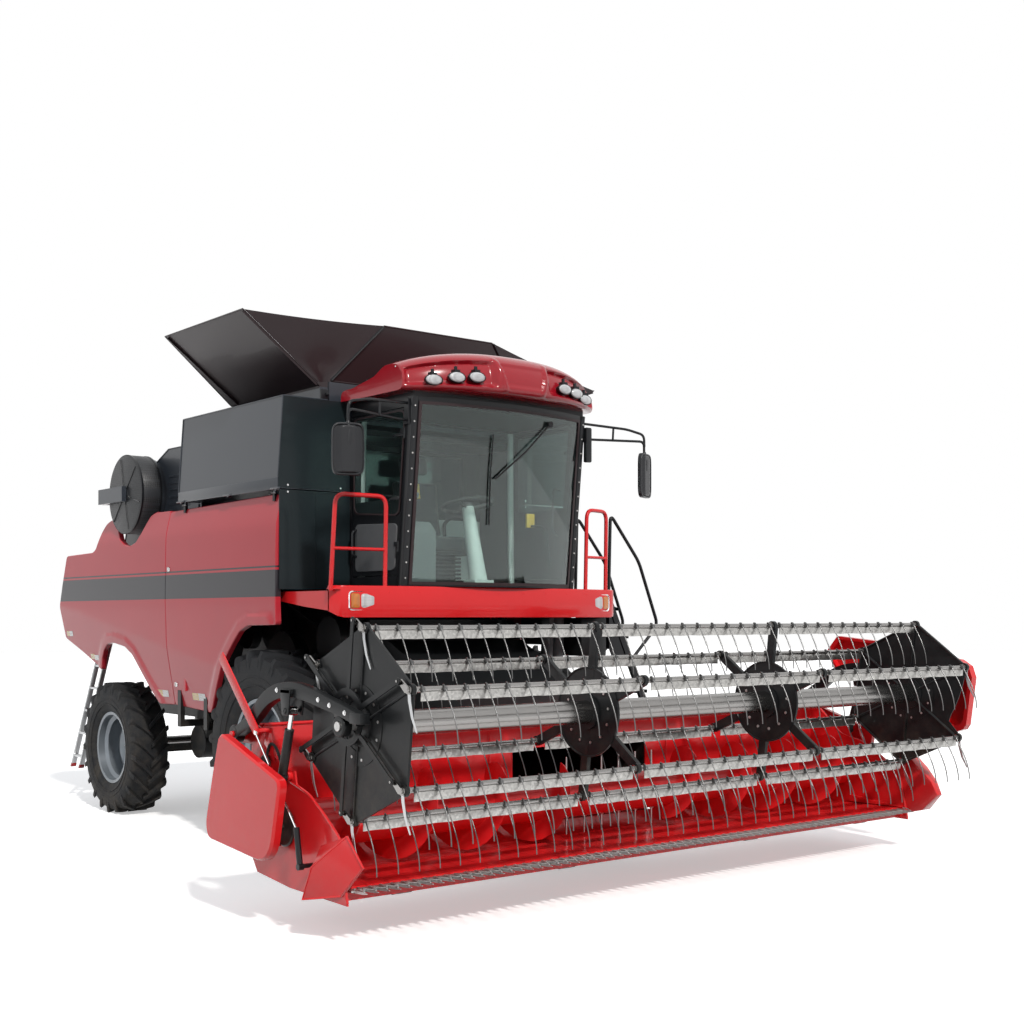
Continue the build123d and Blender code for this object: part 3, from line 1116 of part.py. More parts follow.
def main():
    nodes = build()
    boxes = [shape.bounding_box() for shape in nodes.values()]
    middle = (min(b.min.Y for b in boxes) + max(b.max.Y for b in boxes)) / 2
    for name, shape in nodes.items():
        export_step(Pos(0, -middle, 0) * shape, "parts/" + name + ".step")
    print("nodes", len(nodes), "shift", round(-middle, 3))


if __name__ == "__main__":
    main()
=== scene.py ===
import json
from math import acos, atan2, copysign, cos, hypot, pi, radians, sin, sqrt

import bmesh
import bpy
from mathutils import Matrix, Vector


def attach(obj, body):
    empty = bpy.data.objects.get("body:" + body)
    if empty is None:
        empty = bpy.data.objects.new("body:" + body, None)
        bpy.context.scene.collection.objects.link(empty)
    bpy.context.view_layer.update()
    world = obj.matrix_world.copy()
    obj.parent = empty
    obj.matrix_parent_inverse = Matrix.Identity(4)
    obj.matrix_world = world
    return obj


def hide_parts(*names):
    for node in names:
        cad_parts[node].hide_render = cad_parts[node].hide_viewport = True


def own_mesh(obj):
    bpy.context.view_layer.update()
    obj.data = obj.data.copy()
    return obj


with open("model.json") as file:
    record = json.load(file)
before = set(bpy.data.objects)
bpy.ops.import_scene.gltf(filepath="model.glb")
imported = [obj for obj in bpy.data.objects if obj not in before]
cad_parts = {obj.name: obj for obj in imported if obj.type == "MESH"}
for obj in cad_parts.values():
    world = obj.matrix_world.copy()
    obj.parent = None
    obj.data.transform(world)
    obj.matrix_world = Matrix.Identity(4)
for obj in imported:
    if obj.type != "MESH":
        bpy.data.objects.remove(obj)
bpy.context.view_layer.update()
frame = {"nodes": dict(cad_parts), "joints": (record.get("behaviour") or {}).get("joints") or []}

# Drawing lengths are millimetres: x from the middle to the driver's left, y back from the front axle,
# z up from the ground. place() turns them into the frame's metres.
JOINTS = {joint["name"]: joint for joint in frame["joints"]}
AXLE_Y = JOINTS["front_wheel_spin_left"]["pos_m"][1]


def place(x, y, z):
    return Vector((x / 1000, y / 1000 + AXLE_Y, z / 1000))


# ---- shader nodes ----
def connect(tree, node, values):
    """Give a node's inputs their values; a socket is linked instead."""
    for key, value in values.items():
        if isinstance(value, bpy.types.NodeSocket):
            tree.links.new(value, node.inputs[key])
        else:
            node.inputs[key].default_value = value
    return node


def add(tree, kind, values=None, **settings):
    """A node by its full name; a shader node's name may leave out ShaderNode."""
    node = tree.nodes.new(kind if "Node" in kind else "ShaderNode" + kind)
    for key, value in settings.items():
        setattr(node, key, value)
    return connect(tree, node, values or {})


def calc(tree, operation, *values, clamp=False):
    return add(tree, "Math", dict(enumerate(values)), operation=operation, use_clamp=clamp).outputs[0]


def spread(tree, value, low, high, start=0.0, end=1.0, kind="LINEAR"):
    values = {"Value": value, "From Min": start, "From Max": end, "To Min": low, "To Max": high}
    return add(tree, "MapRange", values, interpolation_type=kind).outputs["Result"]


def here(tree):
    return add(tree, "TexCoord").outputs["Object"]


def cloud(tree, scale, detail, roughness=0.5, vector=None):
    values = {"Vector": vector or here(tree), "Scale": scale, "Detail": detail, "Roughness": roughness}
    return add(tree, "TexNoise", values).outputs["Fac"]


def blend(tree, mask, first, second):
    return add(tree, "Mix", {"Factor": mask, 6: first, 7: second}, data_type="RGBA").outputs[2]


def shaded(tree, colour, shade):
    return add(tree, "VectorMath", {0: colour[:3] if isinstance(colour, tuple) else colour, "Scale": shade},
        operation="SCALE").outputs[0]


def relief(tree, height, strength, distance):
    return add(tree, "Bump", {"Height": height, "Strength": strength,
        "Distance": distance}).outputs["Normal"]


# ---- shader groups: effects that several finishes share ----
def effect(name, result, build, **inputs):
    """A node group with number inputs and one output, which build() makes from them."""
    tree = bpy.data.node_groups.new(name, "ShaderNodeTree")
    for label, value in inputs.items():
        kind = "NodeSocketVector" if isinstance(value, tuple) else "NodeSocketFloat"
        tree.interface.new_socket(name=label, in_out="INPUT", socket_type=kind).default_value = value
    tree.interface.new_socket(name=result, in_out="OUTPUT", socket_type="NodeSocketFloat")
    enter, leave = tree.nodes.new("NodeGroupInput"), tree.nodes.new("NodeGroupOutput")
    tree.links.new(build(tree, *[enter.outputs[label] for label in inputs]), leave.inputs[result])

    def use(target, **values):
        node = target.nodes.new("ShaderNodeGroup")
        node.node_tree = tree
        return connect(target, node, values).outputs[result]
    return use


def blotches_of(tree, scale, contrast):
    """Broad, soft variation of a coloured surface."""
    centred = calc(tree, "SUBTRACT", cloud(tree, scale, 4.0, 0.6), 0.5)
    return calc(tree, "MULTIPLY_ADD", centred, contrast, 1.0)


def dust_of(tree, clean_height, amount):
    """Dry dust that thins out with height, broken up by a fine cloud."""
    height = add(tree, "SeparateXYZ", {0: here(tree)}).outputs["Z"]
    fall = calc(tree, "SUBTRACT", 1.0, calc(tree, "DIVIDE", height, clean_height), clamp=True)
    patches = spread(tree, cloud(tree, 9.0, 6.0, 0.7), 0.0, 1.0, 0.35, 0.75, "SMOOTHSTEP")
    return calc(tree, "MULTIPLY", calc(tree, "MULTIPLY", fall, patches), amount, clamp=True)


def scratches_of(tree, scale, amount):
    """Thin random scratches and chips."""
    stretched = add(tree, "Mapping", {"Vector": here(tree), "Scale": (1.0, 6.0, 1.6),
        "Rotation": (0.3, 0.2, 0.6)})
    marks = cloud(tree, scale, 8.0, 0.75, stretched.outputs[0])
    return calc(tree, "MULTIPLY", spread(tree, marks, 0.0, 1.0, 0.66, 0.78, "SMOOTHSTEP"), amount)


def streaks_of(tree, stretch, scale):
    """Drawing marks along one direction."""
    stretched = add(tree, "VectorMath", {0: here(tree), 1: stretch}, operation="MULTIPLY")
    return cloud(tree, scale, 5.0, 0.6, stretched.outputs[0])


def bands_of(tree, low, high):
    """Painted bands along the side sheets: a broad one with a thin line above it."""
    height = add(tree, "SeparateXYZ", {0: here(tree)}).outputs["Z"]

    def between(bottom, top):
        return calc(tree, "MULTIPLY", calc(tree, "GREATER_THAN", height, bottom),
            calc(tree, "LESS_THAN", height, top))
    thin = between(calc(tree, "ADD", high, 0.018), calc(tree, "ADD", high, 0.032))
    return calc(tree, "ADD", between(low, high), thin, clamp=True)


blotches = effect("Blotches", "Shade", blotches_of, Scale=3.0, Contrast=0.15)
dust_layer = effect("Field dust", "Mask", dust_of, Height=1.2, Amount=0.4)
scratched = effect("Scratches", "Mask", scratches_of, Scale=30.0, Amount=0.3)
streaks = effect("Drawn streaks", "Height", streaks_of, Stretch=(1.0, 60.0, 60.0), Scale=6.0)
side_bands = effect("Side bands", "Mask", bands_of, Low=2.04, High=2.25)
DUST_COLOUR = (0.30, 0.245, 0.18, 1)


# ---- finishes ----
def material_of(name, maker, *given, **values):
    """A material; its maker builds the nodes and returns what goes into the shader."""
    material = bpy.data.materials.new(name)
    material.use_nodes = True
    tree = material.node_tree
    connect(tree, tree.nodes["Principled BSDF"], maker(tree, *given, **values))
    return material


def paint(tree, colour, roughness=0.25, coat=0.25, gloss=0.3, dust=0.35, clean_height=1.3, scratches=0.12,
        bands=None, metallic=0.0):
    """Sprayed enamel over sheet steel: slight peel, broad shade changes, scratches and dust."""
    base = blend(tree, side_bands(tree), colour, bands) if bands else colour
    tinted = shaded(tree, base, blotches(tree, Scale=1.7, Contrast=0.16))
    bare = tuple(min(1, c * 0.55 + 0.06) for c in colour[:3]) + (1,)
    scuffed = blend(tree, scratched(tree, Scale=22.0, Amount=scratches), tinted, bare)
    dirt = dust_layer(tree, Height=clean_height, Amount=dust)
    return {"Base Color": blend(tree, dirt, scuffed, DUST_COLOUR), "Roughness": spread(tree, dirt, roughness,
        0.75), "Metallic": metallic, "Specular IOR Level": gloss, "Coat Weight": coat,
        "Coat Roughness": 0.06, "Normal": relief(tree, cloud(tree, 160.0, 2.0), 0.05, 0.001)}


def drawn_metal(tree, colour, roughness=0.28, stretch=(1.0, 60.0, 60.0), scale=6.0, strength=0.25):
    """Bright bar and tube with drawing marks along its length."""
    marks = streaks(tree, Stretch=stretch, Scale=scale)
    return {"Base Color": shaded(tree, colour, spread(tree, marks, 0.72, 1.12)), "Metallic": 1.0,
        "Roughness": spread(tree, marks, roughness * 0.7, roughness * 1.4),
        "Normal": relief(tree, marks, strength, 0.0006)}


def galvanised(tree, colour):
    """Zinc dipped sheet with spangles and shallow waves."""
    spangle = add(tree, "TexVoronoi", {"Vector": here(tree), "Scale": 70.0}).outputs["Color"]
    grey = add(tree, "RGBToBW", {0: spangle}).outputs[0]
    return {"Base Color": shaded(tree, colour, spread(tree, grey, 0.7, 1.2)), "Metallic": 1.0,
        "Roughness": 0.3, "Normal": relief(tree, cloud(tree, 16.0, 3.0), 0.55, 0.012)}


def moulded(tree, colour, roughness=0.5, grain=320.0, strength=0.15, dust=0.0, gloss=0.3):
    """Moulded plastic or rubber with a fine grain."""
    tinted = shaded(tree, colour, blotches(tree, Scale=6.0, Contrast=0.25))
    pores = cloud(tree, grain, 3.0)
    return {"Base Color": blend(tree, dust_layer(tree, Height=1.6, Amount=dust), tinted, DUST_COLOUR),
        "Roughness": spread(tree, pores, roughness * 0.85, min(1.0, roughness * 1.2)),
        "Specular IOR Level": gloss, "Normal": relief(tree, pores, strength, 0.001)}


def pane(tree, tint):
    shadow = tree.nodes.new("ShaderNodeLightPath").outputs["Is Shadow Ray"]
    return {"Base Color": shaded(tree, tint, blotches(tree, Scale=1.2, Contrast=0.06)), "Roughness": 0.02,
        "Transmission Weight": 1.0, "IOR": 1.5, "Specular IOR Level": 0.9,
        "Alpha": calc(tree, "MULTIPLY_ADD", shadow, -0.85, 1.0)}


def lens(tree, colour, cells=90.0):
    """A ribbed lamp lens over a bright reflector: honeycomb cells in relief."""
    values = {"Vector": here(tree), "Scale": cells, "Randomness": 0.0}
    cell = add(tree, "TexVoronoi", values).outputs["Distance"]
    return {"Base Color": shaded(tree, colour, spread(tree, cell, 1.05, 0.55, 0.0, 0.7)), "Roughness": 0.12,
        "Coat Weight": 1.0, "Normal": relief(tree, cell, 0.6, 0.003)}


def cloth(tree, colour, rib=420.0):
    """Woven seat fabric: crossed threads and a soft sheen."""
    values = {"Vector": here(tree), "Scale": rib, "Distortion": 0.6}
    threads = [add(tree, "TexWave", values, bands_direction=way).outputs["Fac"] for way in "XZ"]
    weave = calc(tree, "MULTIPLY", *threads)
    return {"Base Color": shaded(tree, colour, spread(tree, weave, 0.75, 1.25)), "Roughness": 0.85,
        "Sheen Weight": 0.25, "Normal": relief(tree, weave, 0.3, 0.001)}


def perforated(tree, colour, pitch=0.018, hole=0.006):
    """Sheet with round holes in a staggered pattern, shown as dark dots in relief."""
    values = {"Vector": here(tree), "Scale": 1 / pitch, "Randomness": 0.0}
    dots = add(tree, "TexVoronoi", values).outputs["Distance"]
    solid = spread(tree, dots, 0.0, 1.0, hole / pitch, hole / pitch + 0.12, "SMOOTHSTEP")
    return {"Base Color": blend(tree, solid, (0.004, 0.004, 0.004, 1), colour), "Roughness": 0.42,
        "Normal": relief(tree, solid, 0.5, 0.002)}


# each line: finish, its slot, its maker, its colour, and what differs from the maker's usual values
FINISHES = [
    ("red_enamel", "red_paint", paint, (0.74, 0.016, 0.020),
     dict(roughness=0.22, dust=0.10, clean_height=1.0, scratches=0.05)),
    # side_red_painted_shade is the red of red_enamel made darker: painted shade on the side sheets, straw
    # hood and ribs
    ("side_red_painted_shade", "red_paint", paint, (0.50, 0.026, 0.042),
     dict(roughness=0.28, coat=0.22, dust=0.06, clean_height=2.0, scratches=0.04,
          bands=(0.028, 0.026, 0.032, 1))),
    # roof_red_painted_shade is the same red paint darker still: painted shade on the roof shell
    ("roof_red_painted_shade", "red_paint", paint, (0.36, 0.008, 0.018),
     dict(roughness=0.2, coat=0.4, dust=0.0, scratches=0.02)),
    ("tank_slate", "tank_paint", paint, (0.034, 0.041, 0.052),
     dict(roughness=0.3, gloss=0.4, dust=0.0, scratches=0.08)),
    ("tank_black", "tank_paint", paint, (0.012, 0.019, 0.022),
     dict(roughness=0.3, coat=0.1, gloss=0.2, dust=0.0, scratches=0.08)),
    # hatch_dark_red_reflection is dark paint with a faint red tint: the tint is a painted reflection of the
    # red roof in the flaps
    ("hatch_dark_red_reflection", "tank_paint", paint, (0.026, 0.016, 0.018),
     dict(roughness=0.33, coat=0.1, gloss=0.25, dust=0.0, scratches=0.10)),
    # gusset_black_red_reflection is near-black with a faint red tint: a painted reflection of the red paint
    # nearby
    ("gusset_black_red_reflection", "tank_paint", moulded, (0.030, 0.018, 0.020),
     dict(roughness=0.5, grain=60.0, strength=0.25)),
    ("frame_black", "black_paint", paint, (0.010, 0.011, 0.012),
     dict(roughness=0.38, coat=0.08, gloss=0.2, dust=0.3, scratches=0.10)),
    ("cab_black", "black_paint", paint, (0.009, 0.010, 0.012),
     dict(roughness=0.32, coat=0.12, gloss=0.25, dust=0.0, scratches=0.05)),
    ("drum_screen", "black_paint", perforated, (0.020, 0.022, 0.026), {}),
    ("bright_tube", "bright_steel", drawn_metal, (0.34, 0.33, 0.32), dict(roughness=0.22, strength=0.06)),
    ("bat_strip", "bright_steel", galvanised, (0.50, 0.49, 0.47), {}),
    ("tine_wire", "bright_steel", drawn_metal, (0.15, 0.15, 0.15), dict(roughness=0.35, scale=30.0)),
    ("knife_steel", "bright_steel", drawn_metal, (0.55, 0.54, 0.53),
     dict(roughness=0.38, stretch=(30.0, 2.0, 2.0), scale=12.0)),
    ("chrome_rod", "bright_steel", drawn_metal, (0.8, 0.8, 0.8), dict(roughness=0.08, strength=0.05)),
    ("tyre_rubber", "tyre_rubber", moulded, (0.010, 0.011, 0.013),
     dict(roughness=0.72, grain=90.0, strength=0.3, dust=0.15)),
    ("belt_rubber", "tyre_rubber", moulded, (0.02, 0.02, 0.02), dict(roughness=0.8, grain=140.0)),
    ("rim_silver", "rim_silver", paint, (0.20, 0.225, 0.25),
     dict(roughness=0.34, dust=0.1, scratches=0.1, metallic=0.5)),
    ("cab_glass", "cab_glass", pane, (0.70, 0.88, 0.83), {}),
    ("seat_cloth", "seat_cover", cloth, (0.028, 0.030, 0.034), {}),
    ("trim_grey", "mirror_shell", moulded, (0.10, 0.105, 0.11), dict(roughness=0.6)),
    ("trim_pale", "mirror_shell", moulded, (0.42, 0.43, 0.43), dict(roughness=0.55)),
    ("trim_black", "mirror_shell", moulded, (0.014, 0.014, 0.015), {}),
    ("mirror_shell", "mirror_shell", moulded, (0.018, 0.019, 0.022), dict(roughness=0.3, gloss=0.35)),
    ("mirror_face", "mirror_shell", drawn_metal, (0.85, 0.87, 0.88), dict(roughness=0.03, strength=0.0)),
    ("lamp_lens", "lamp_lens", lens, (0.80, 0.82, 0.84), {}),
    ("lamp_chrome", "lamp_lens", drawn_metal, (0.82, 0.83, 0.84), dict(roughness=0.1, strength=0.05)),
    ("amber_lens", "lamp_lens", lens, (0.85, 0.26, 0.015), dict(cells=120.0)),
    ("tail_lens", "lamp_lens", lens, (0.45, 0.012, 0.012), dict(cells=120.0)),
    ("band_white", "lamp_lens", lens, (0.80, 0.80, 0.80), dict(cells=260.0)),
    ("band_yellow", "lamp_lens", lens, (0.82, 0.50, 0.04), dict(cells=260.0)),
    ("ladder_aluminium", "ladder_aluminium", drawn_metal, (0.60, 0.61, 0.62),
     dict(roughness=0.35, stretch=(40.0, 40.0, 1.0))),
    ("engine_grey", "engine_grey", paint, (0.16, 0.17, 0.17),
     dict(roughness=0.45, coat=0.0, dust=0.0, scratches=0.2)),
]
FINISH, SLOT_OF = {}, {}
for name, slot, maker, colour, values in FINISHES:
    FINISH[name], SLOT_OF[name] = material_of(name, maker, colour + (1,), **values), slot


# ---- workshop: building meshes ----
def linked(name, data):
    item = bpy.data.objects.new(name, data)
    bpy.context.scene.collection.objects.link(item)
    return item


def around(count):
    """Angles evenly spaced round a full turn."""
    return [2 * pi * k / count for k in range(count)]


def polar(degrees, reach=1.0, middle=(0, 0)):
    """The point at that angle and reach from a middle."""
    return middle[0] + reach * cos(radians(degrees)), middle[1] + reach * sin(radians(degrees))


def sided(s, near, far):
    """Two distances from the middle as rising x values on side s."""
    return sorted((s * near, s * far))


def side_name(s):
    return "left" if s > 0 else "right"


class Stock:
    """Metal on the bench for one piece: every shape added here ends up in the same mesh."""

    def __init__(self):
        self.mesh = bmesh.new()

    def shell(self, points, faces):
        """Points in drawing millimetres and the faces between them."""
        verts = [self.mesh.verts.new(place(*p)) for p in points]
        for face in faces:
            self.mesh.faces.new([verts[i] for i in face])
        return self

    def prism(self, outline, lift):
        """A flat outline of 3-D points thickened by a vector."""
        n = len(outline)
        top = [tuple(a + b for a, b in zip(p, lift)) for p in outline]
        faces = [list(range(n)), list(range(n, 2 * n))[::-1]]
        faces += [[i, i + n, (i + 1) % n + n, (i + 1) % n] for i in range(n)]
        return self.shell(list(outline) + top, faces)

    def plate_x(self, outline, x0, x1):
        return self.prism([(x0, y, z) for y, z in outline], (x1 - x0, 0, 0))

    def plate_y(self, outline, y0, y1):
        return self.prism([(x, y0, z) for x, z in outline], (0, y1 - y0, 0))

    def plate_z(self, outline, z0, z1):
        return self.prism([(x, y, z0) for x, y in outline], (0, 0, z1 - z0))

    def block(self, x0, x1, y0, y1, z0, z1):
        return self.plate_z([(x0, y0), (x1, y0), (x1, y1), (x0, y1)], z0, z1)

    def turned(self, profile, centre, axis="X", sides=48):
        """A profile of (along, radius) turned about a line through centre."""
        points, faces, n = [], [], len(profile)
        for turn in around(sides):
            c, s = cos(turn), sin(turn)
            for along, radius in profile:
                offset = {"X": (along, radius * c, radius * s), "Y": (radius * s, along, radius * c),
                    "Z": (radius * c, radius * s, along)}[axis]
                points.append(tuple(p + o for p, o in zip(centre, offset)))
        for k in range(sides):
            a, b = k * n, (k + 1) % sides * n
            for i in range(n):
                j = (i + 1) % n
                faces.append([a + i, a + j, b + j, b + i])
        return self.shell(points, faces)

    def sleeve(self, start, end, inner, outer, centre, axis="X", sides=48):
        return self.turned([(start, inner), (start, outer), (end, outer), (end, inner)], centre, axis, sides)

    def pipe(self, points, radius, sides=10, bend=0.0, flat=1.0):
        """A round bar along points, its corners rounded by bend, with closed ends."""
        route = [Vector(p) for p in points]
        if bend:
            route = corners_rounded(route, bend, 5, closed=False)
        rings, lead = [], None
        for i, p in enumerate(route):
            ahead = (route[min(i + 1, len(route) - 1)] - route[max(i - 1, 0)]).normalized()
            if lead is None:
                lead = ahead.orthogonal().normalized()
            lead = (lead - ahead * lead.dot(ahead)).normalized()
            side = ahead.cross(lead)
            size = radius(i / (len(route) - 1)) if callable(radius) else radius
            rings.append([p + lead * (size * cos(turn)) + side * (size * flat * sin(turn))
                for turn in around(sides)])
        return self.tube(rings, sides)

    def tube(self, rings, sides):
        """Rings of points joined one after another; the same points carry the two end faces."""
        faces = [[a + k, a + (k + 1) % sides, a + sides + (k + 1) % sides, a + sides + k]
            for a in range(0, (len(rings) - 1) * sides, sides) for k in range(sides)]
        last = (len(rings) - 1) * sides
        faces += [list(range(sides))[::-1], list(range(last, last + sides))]
        return self.shell([q for ring in rings for q in ring], faces)

    def grid(self, rows, close_rows=False, close_columns=False):
        """A sheet of faces over rows of points."""
        n, m = len(rows), len(rows[0])
        faces = []
        for i in range(n if close_rows else n - 1):
            for k in range(m if close_columns else m - 1):
                a, b = i * m, (i + 1) % n * m
                faces.append([a + k, a + (k + 1) % m, b + (k + 1) % m, b + k])
        return self.shell([p for row in rows for p in row], faces)

    def loft(self, rows, way=1):
        """Rings of points joined one after another, with a separate face over each end."""
        end = list(range(len(rows[0])))[::way]
        self.grid(rows, close_columns=True).shell(rows[0], [end])
        return self.shell(rows[-1], [end[::-1]])

    def pressed(self, outline, x0, x1, corner=45, edge=8):
        """A panel across X with rounded corners and a rolled outer edge, from its (y, z) outline."""
        points = corners_rounded(upright(outline), corner, 5)
        centre = sum(points, Vector()) / len(points)
        inner = [centre + (p - centre) * (1 - edge / (p - centre).length) for p in points]
        step = edge if x1 > x0 else -edge
        n = len(points)
        rings = [[(x0, p.y, p.z) for p in points], [(x1 - step, p.y, p.z) for p in points],
            [(x1 - step * 0.3, (p.y + 2 * q.y) / 3, (p.z + 2 * q.z) / 3) for p, q in zip(points, inner)],
            [(x1, q.y, q.z) for q in inner]]
        faces = [list(range(n)), [3 * n + k for k in range(n)][::-1]]
        for i in range(3):
            faces += [[i * n + k, i * n + (k + 1) % n, (i + 1) * n + (k + 1) % n, (i + 1) * n + k]
                for k in range(n)]
        return self.shell([p for ring in rings for p in ring], faces)

    def cut_back(self, point, normal):
        """Slice the piece by a plane, drop what lies on the plane's outer side, and close the cut."""
        geometry = self.mesh.verts[:] + self.mesh.edges[:] + self.mesh.faces[:]
        cut = bmesh.ops.bisect_plane(self.mesh, geom=geometry, plane_co=place(*point),
            plane_no=Vector(normal), clear_outer=True)
        rim = [item for item in cut["geom_cut"] if isinstance(item, bmesh.types.BMEdge)]
        bmesh.ops.holes_fill(self.mesh, edges=rim)

    def piece(self, name):
        """Everything on the bench as one object, its faces turned outwards."""
        bmesh.ops.recalc_face_normals(self.mesh, faces=self.mesh.faces[:])
        data = bpy.data.meshes.new(name)
        self.mesh.to_mesh(data)
        self.mesh.free()
        return linked(name, data)

    def done(self, name, finish, body="machine", solid=None, bevel=0.0, sharp=32, gauge=0.0):
        """The finished piece, painted and riding on its body. An open sheet gets a gauge."""
        piece = self.piece(name)
        if gauge:
            sheet = piece.modifiers.new("gauge", "SOLIDIFY")
            sheet.thickness, sheet.offset = gauge / 1000, 0
        if bevel:
            edge = piece.modifiers.new("edge", "BEVEL")
            edge.width, edge.segments = bevel / 1000, 2
            edge.limit_method, edge.angle_limit = "ANGLE", radians(40)
        return finished(plain(piece) if gauge or bevel else piece, finish, body, solid, sharp)


def upright(outline):
    """An outline of (y, z) points as vectors."""
    return [Vector((0, y, z)) for y, z in outline]


def corners_rounded(points, bend, steps, closed=True):
    """Each corner replaced by a short quadratic arc that starts bend away from it."""
    out, n = [], len(points)
    for i, p in enumerate(points):
        if not closed and i in (0, n - 1):
            out.append(p)
            continue
        before, after = points[i - 1], points[(i + 1) % n]
        reach_in = min(bend, (before - p).length * 0.48)
        reach_out = min(bend, (after - p).length * 0.48)
        a = p + (before - p).normalized() * reach_in
        b = p + (after - p).normalized() * reach_out
        for k in range(steps + 1):
            t = k / steps
            out.append(a * (1 - t) ** 2 + p * 2 * t * (1 - t) + b * t ** 2)
    return out


def plain(piece):
    """Live modifiers turned into a plain mesh."""
    evaluated = piece.evaluated_get(bpy.context.evaluated_depsgraph_get())
    data = bpy.data.meshes.new_from_object(evaluated)
    old = piece.data
    piece.modifiers.clear()
    piece.data = data
    bpy.data.meshes.remove(old)
    return piece


def finished(piece, finish, body, solid=None, sharp=32):
    data = piece.data
    data.materials.clear()
    data.materials.append(FINISH[finish])
    data.polygons.foreach_set("use_smooth", [sharp > 0] * len(data.polygons))
    if sharp:
        data.set_sharp_from_angle(angle=radians(sharp))
    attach(piece, body)
    if solid:
        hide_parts(solid)
    return piece


# ---- repeats made by Geometry Nodes ----
def repeat_tree(name, build, **kinds):
    """A node group that takes a shape, the inputs named and a finish; build() returns its instances."""
    tree = bpy.data.node_groups.new(name, "GeometryNodeTree")
    for label, kind in {"Shape": "Geometry", **kinds, "Finish": "Material"}.items():
        tree.interface.new_socket(name=label, in_out="INPUT", socket_type="NodeSocket" + kind)
    tree.interface.new_socket(name="Shape", in_out="OUTPUT", socket_type="NodeSocketGeometry")
    given = tree.nodes.new("NodeGroupInput").outputs
    realize = geo(tree, "GeometryNodeRealizeInstances", Geometry=build(tree, given))
    painted = geo(tree, "GeometryNodeSetMaterial", Geometry=realize, Material=given["Finish"])
    connect(tree, tree.nodes.new("NodeGroupOutput"), {"Shape": painted})
    return tree


def geo(tree, kind, **values):
    return add(tree, kind, values).outputs[0]


def row_of(tree, given):
    """Copies of a shape in a straight row."""
    line = geo(tree, "GeometryNodeMeshLine", Count=given["Count"], Offset=given["Step"])
    return geo(tree, "GeometryNodeInstanceOnPoints", Points=line, Instance=given["Shape"])


def ring_of(tree, given):
    """Copies of a shape turned about an axis through a centre."""
    put = geo(tree, "GeometryNodeInstanceOnPoints", Points=geo(tree, "GeometryNodePoints",
        Count=given["Count"]), Instance=given["Shape"])
    step = calc(tree, "DIVIDE", 2 * pi, given["Count"])
    values = {"Axis": given["Axis"], "Angle": calc(tree, "MULTIPLY", step,
        geo(tree, "GeometryNodeInputIndex"))}
    rotation = add(tree, "FunctionNodeAxisAngleToRotation", values).outputs[0]
    values = {"Instances": put, "Rotation": rotation, "Pivot Point": given["Centre"], "Local Space": False}
    return geo(tree, "GeometryNodeRotateInstances", **values)


def bolts_of(tree, given):
    """A washer-faced hexagon head on every point of a mesh, all facing one way."""
    wide, low = calc(tree, "MULTIPLY", given["Radius"], 1.35), calc(tree, "MULTIPLY", given["Height"], 0.4)
    both = tree.nodes.new("GeometryNodeJoinGeometry")
    for corners, radius, depth in ((6, given["Radius"], given["Height"]), (12, wide, low)):
        head = geo(tree, "GeometryNodeMeshCylinder", Vertices=corners, Radius=radius, Depth=depth)
        tree.links.new(head, both.inputs["Geometry"])
    return geo(tree, "GeometryNodeInstanceOnPoints", Points=given["Shape"], Instance=both.outputs[0],
        Rotation=given["Facing"])


ROW = repeat_tree("Row of parts", row_of, Count="Int", Step="Vector")
RING = repeat_tree("Ring of parts", ring_of, Count="Int", Centre="Vector", Axis="Vector")
BOLTS = repeat_tree("Bolt heads", bolts_of, Radius="Float", Height="Float", Facing="Rotation")
FACING = {"X": (0, pi / 2, 0), "Y": (pi / 2, 0, 0), "Z": (0, 0, 0)}


def grown(piece, tree, finish, **values):
    """Runs a repeat on a piece and keeps its plain result."""
    modifier = piece.modifiers.new("repeat", "NODES")
    modifier.node_group = tree
    values["Finish"] = FINISH[finish]
    for item in tree.interface.items_tree:
        if item.item_type == "SOCKET" and item.in_out == "INPUT" and item.name in values:
            modifier[item.identifier] = values[item.name]
    return plain(piece)


def repeated(stock, name, finish, body, count, step=None, centre=None, sharp=32):
    """One shape from the bench, repeated in a row by step, or in a ring about centre."""
    piece = stock.piece(name)
    if step is not None:
        grown(piece, ROW, finish, Count=count, Step=tuple(s / 1000 for s in step))
    else:
        grown(piece, RING, finish, Count=count, Centre=tuple(place(*centre)), Axis=(1, 0, 0))
    return finished(piece, finish, body, sharp=sharp)


def bolts(name, seats, facing, body="machine", radius=9, height=12, finish="frame_black"):
    """Bolt heads centred on their seats, given in drawing millimetres."""
    data = bpy.data.meshes.new(name)
    data.from_pydata([place(*seat) for seat in seats], [], [])
    piece = linked(name, data)
    grown(piece, BOLTS, finish, Radius=radius / 1000, Height=height / 1000, Facing=FACING[facing])
    return finished(piece, finish, body, sharp=25)


def coat(node, finish):
    """A better finish on a solid that keeps its shape."""
    solid = frame["nodes"][node]
    solid.data.materials.clear()
    solid.data.materials.append(FINISH[finish])
    solid.data.polygons.foreach_set("use_smooth", [True] * len(solid.data.polygons))
    solid.data.set_sharp_from_angle(angle=radians(30))


# ---- wheels ----
RIM_DISC = -62   # inwards from the middle of the wheel
WHEELS = {
    # middle of the wheel, tread radius, width, bead seat, height and count of the lugs, bolt circle and bolts
    "front": dict(x=1255, y=0, radius=810, width=470, seat=400, lug=42, lugs=23, bolts=150, studs=10),
    "rear": dict(x=1305, y=2890, radius=627, width=370, seat=325, lug=34, lugs=21, bolts=110, studs=8),
}


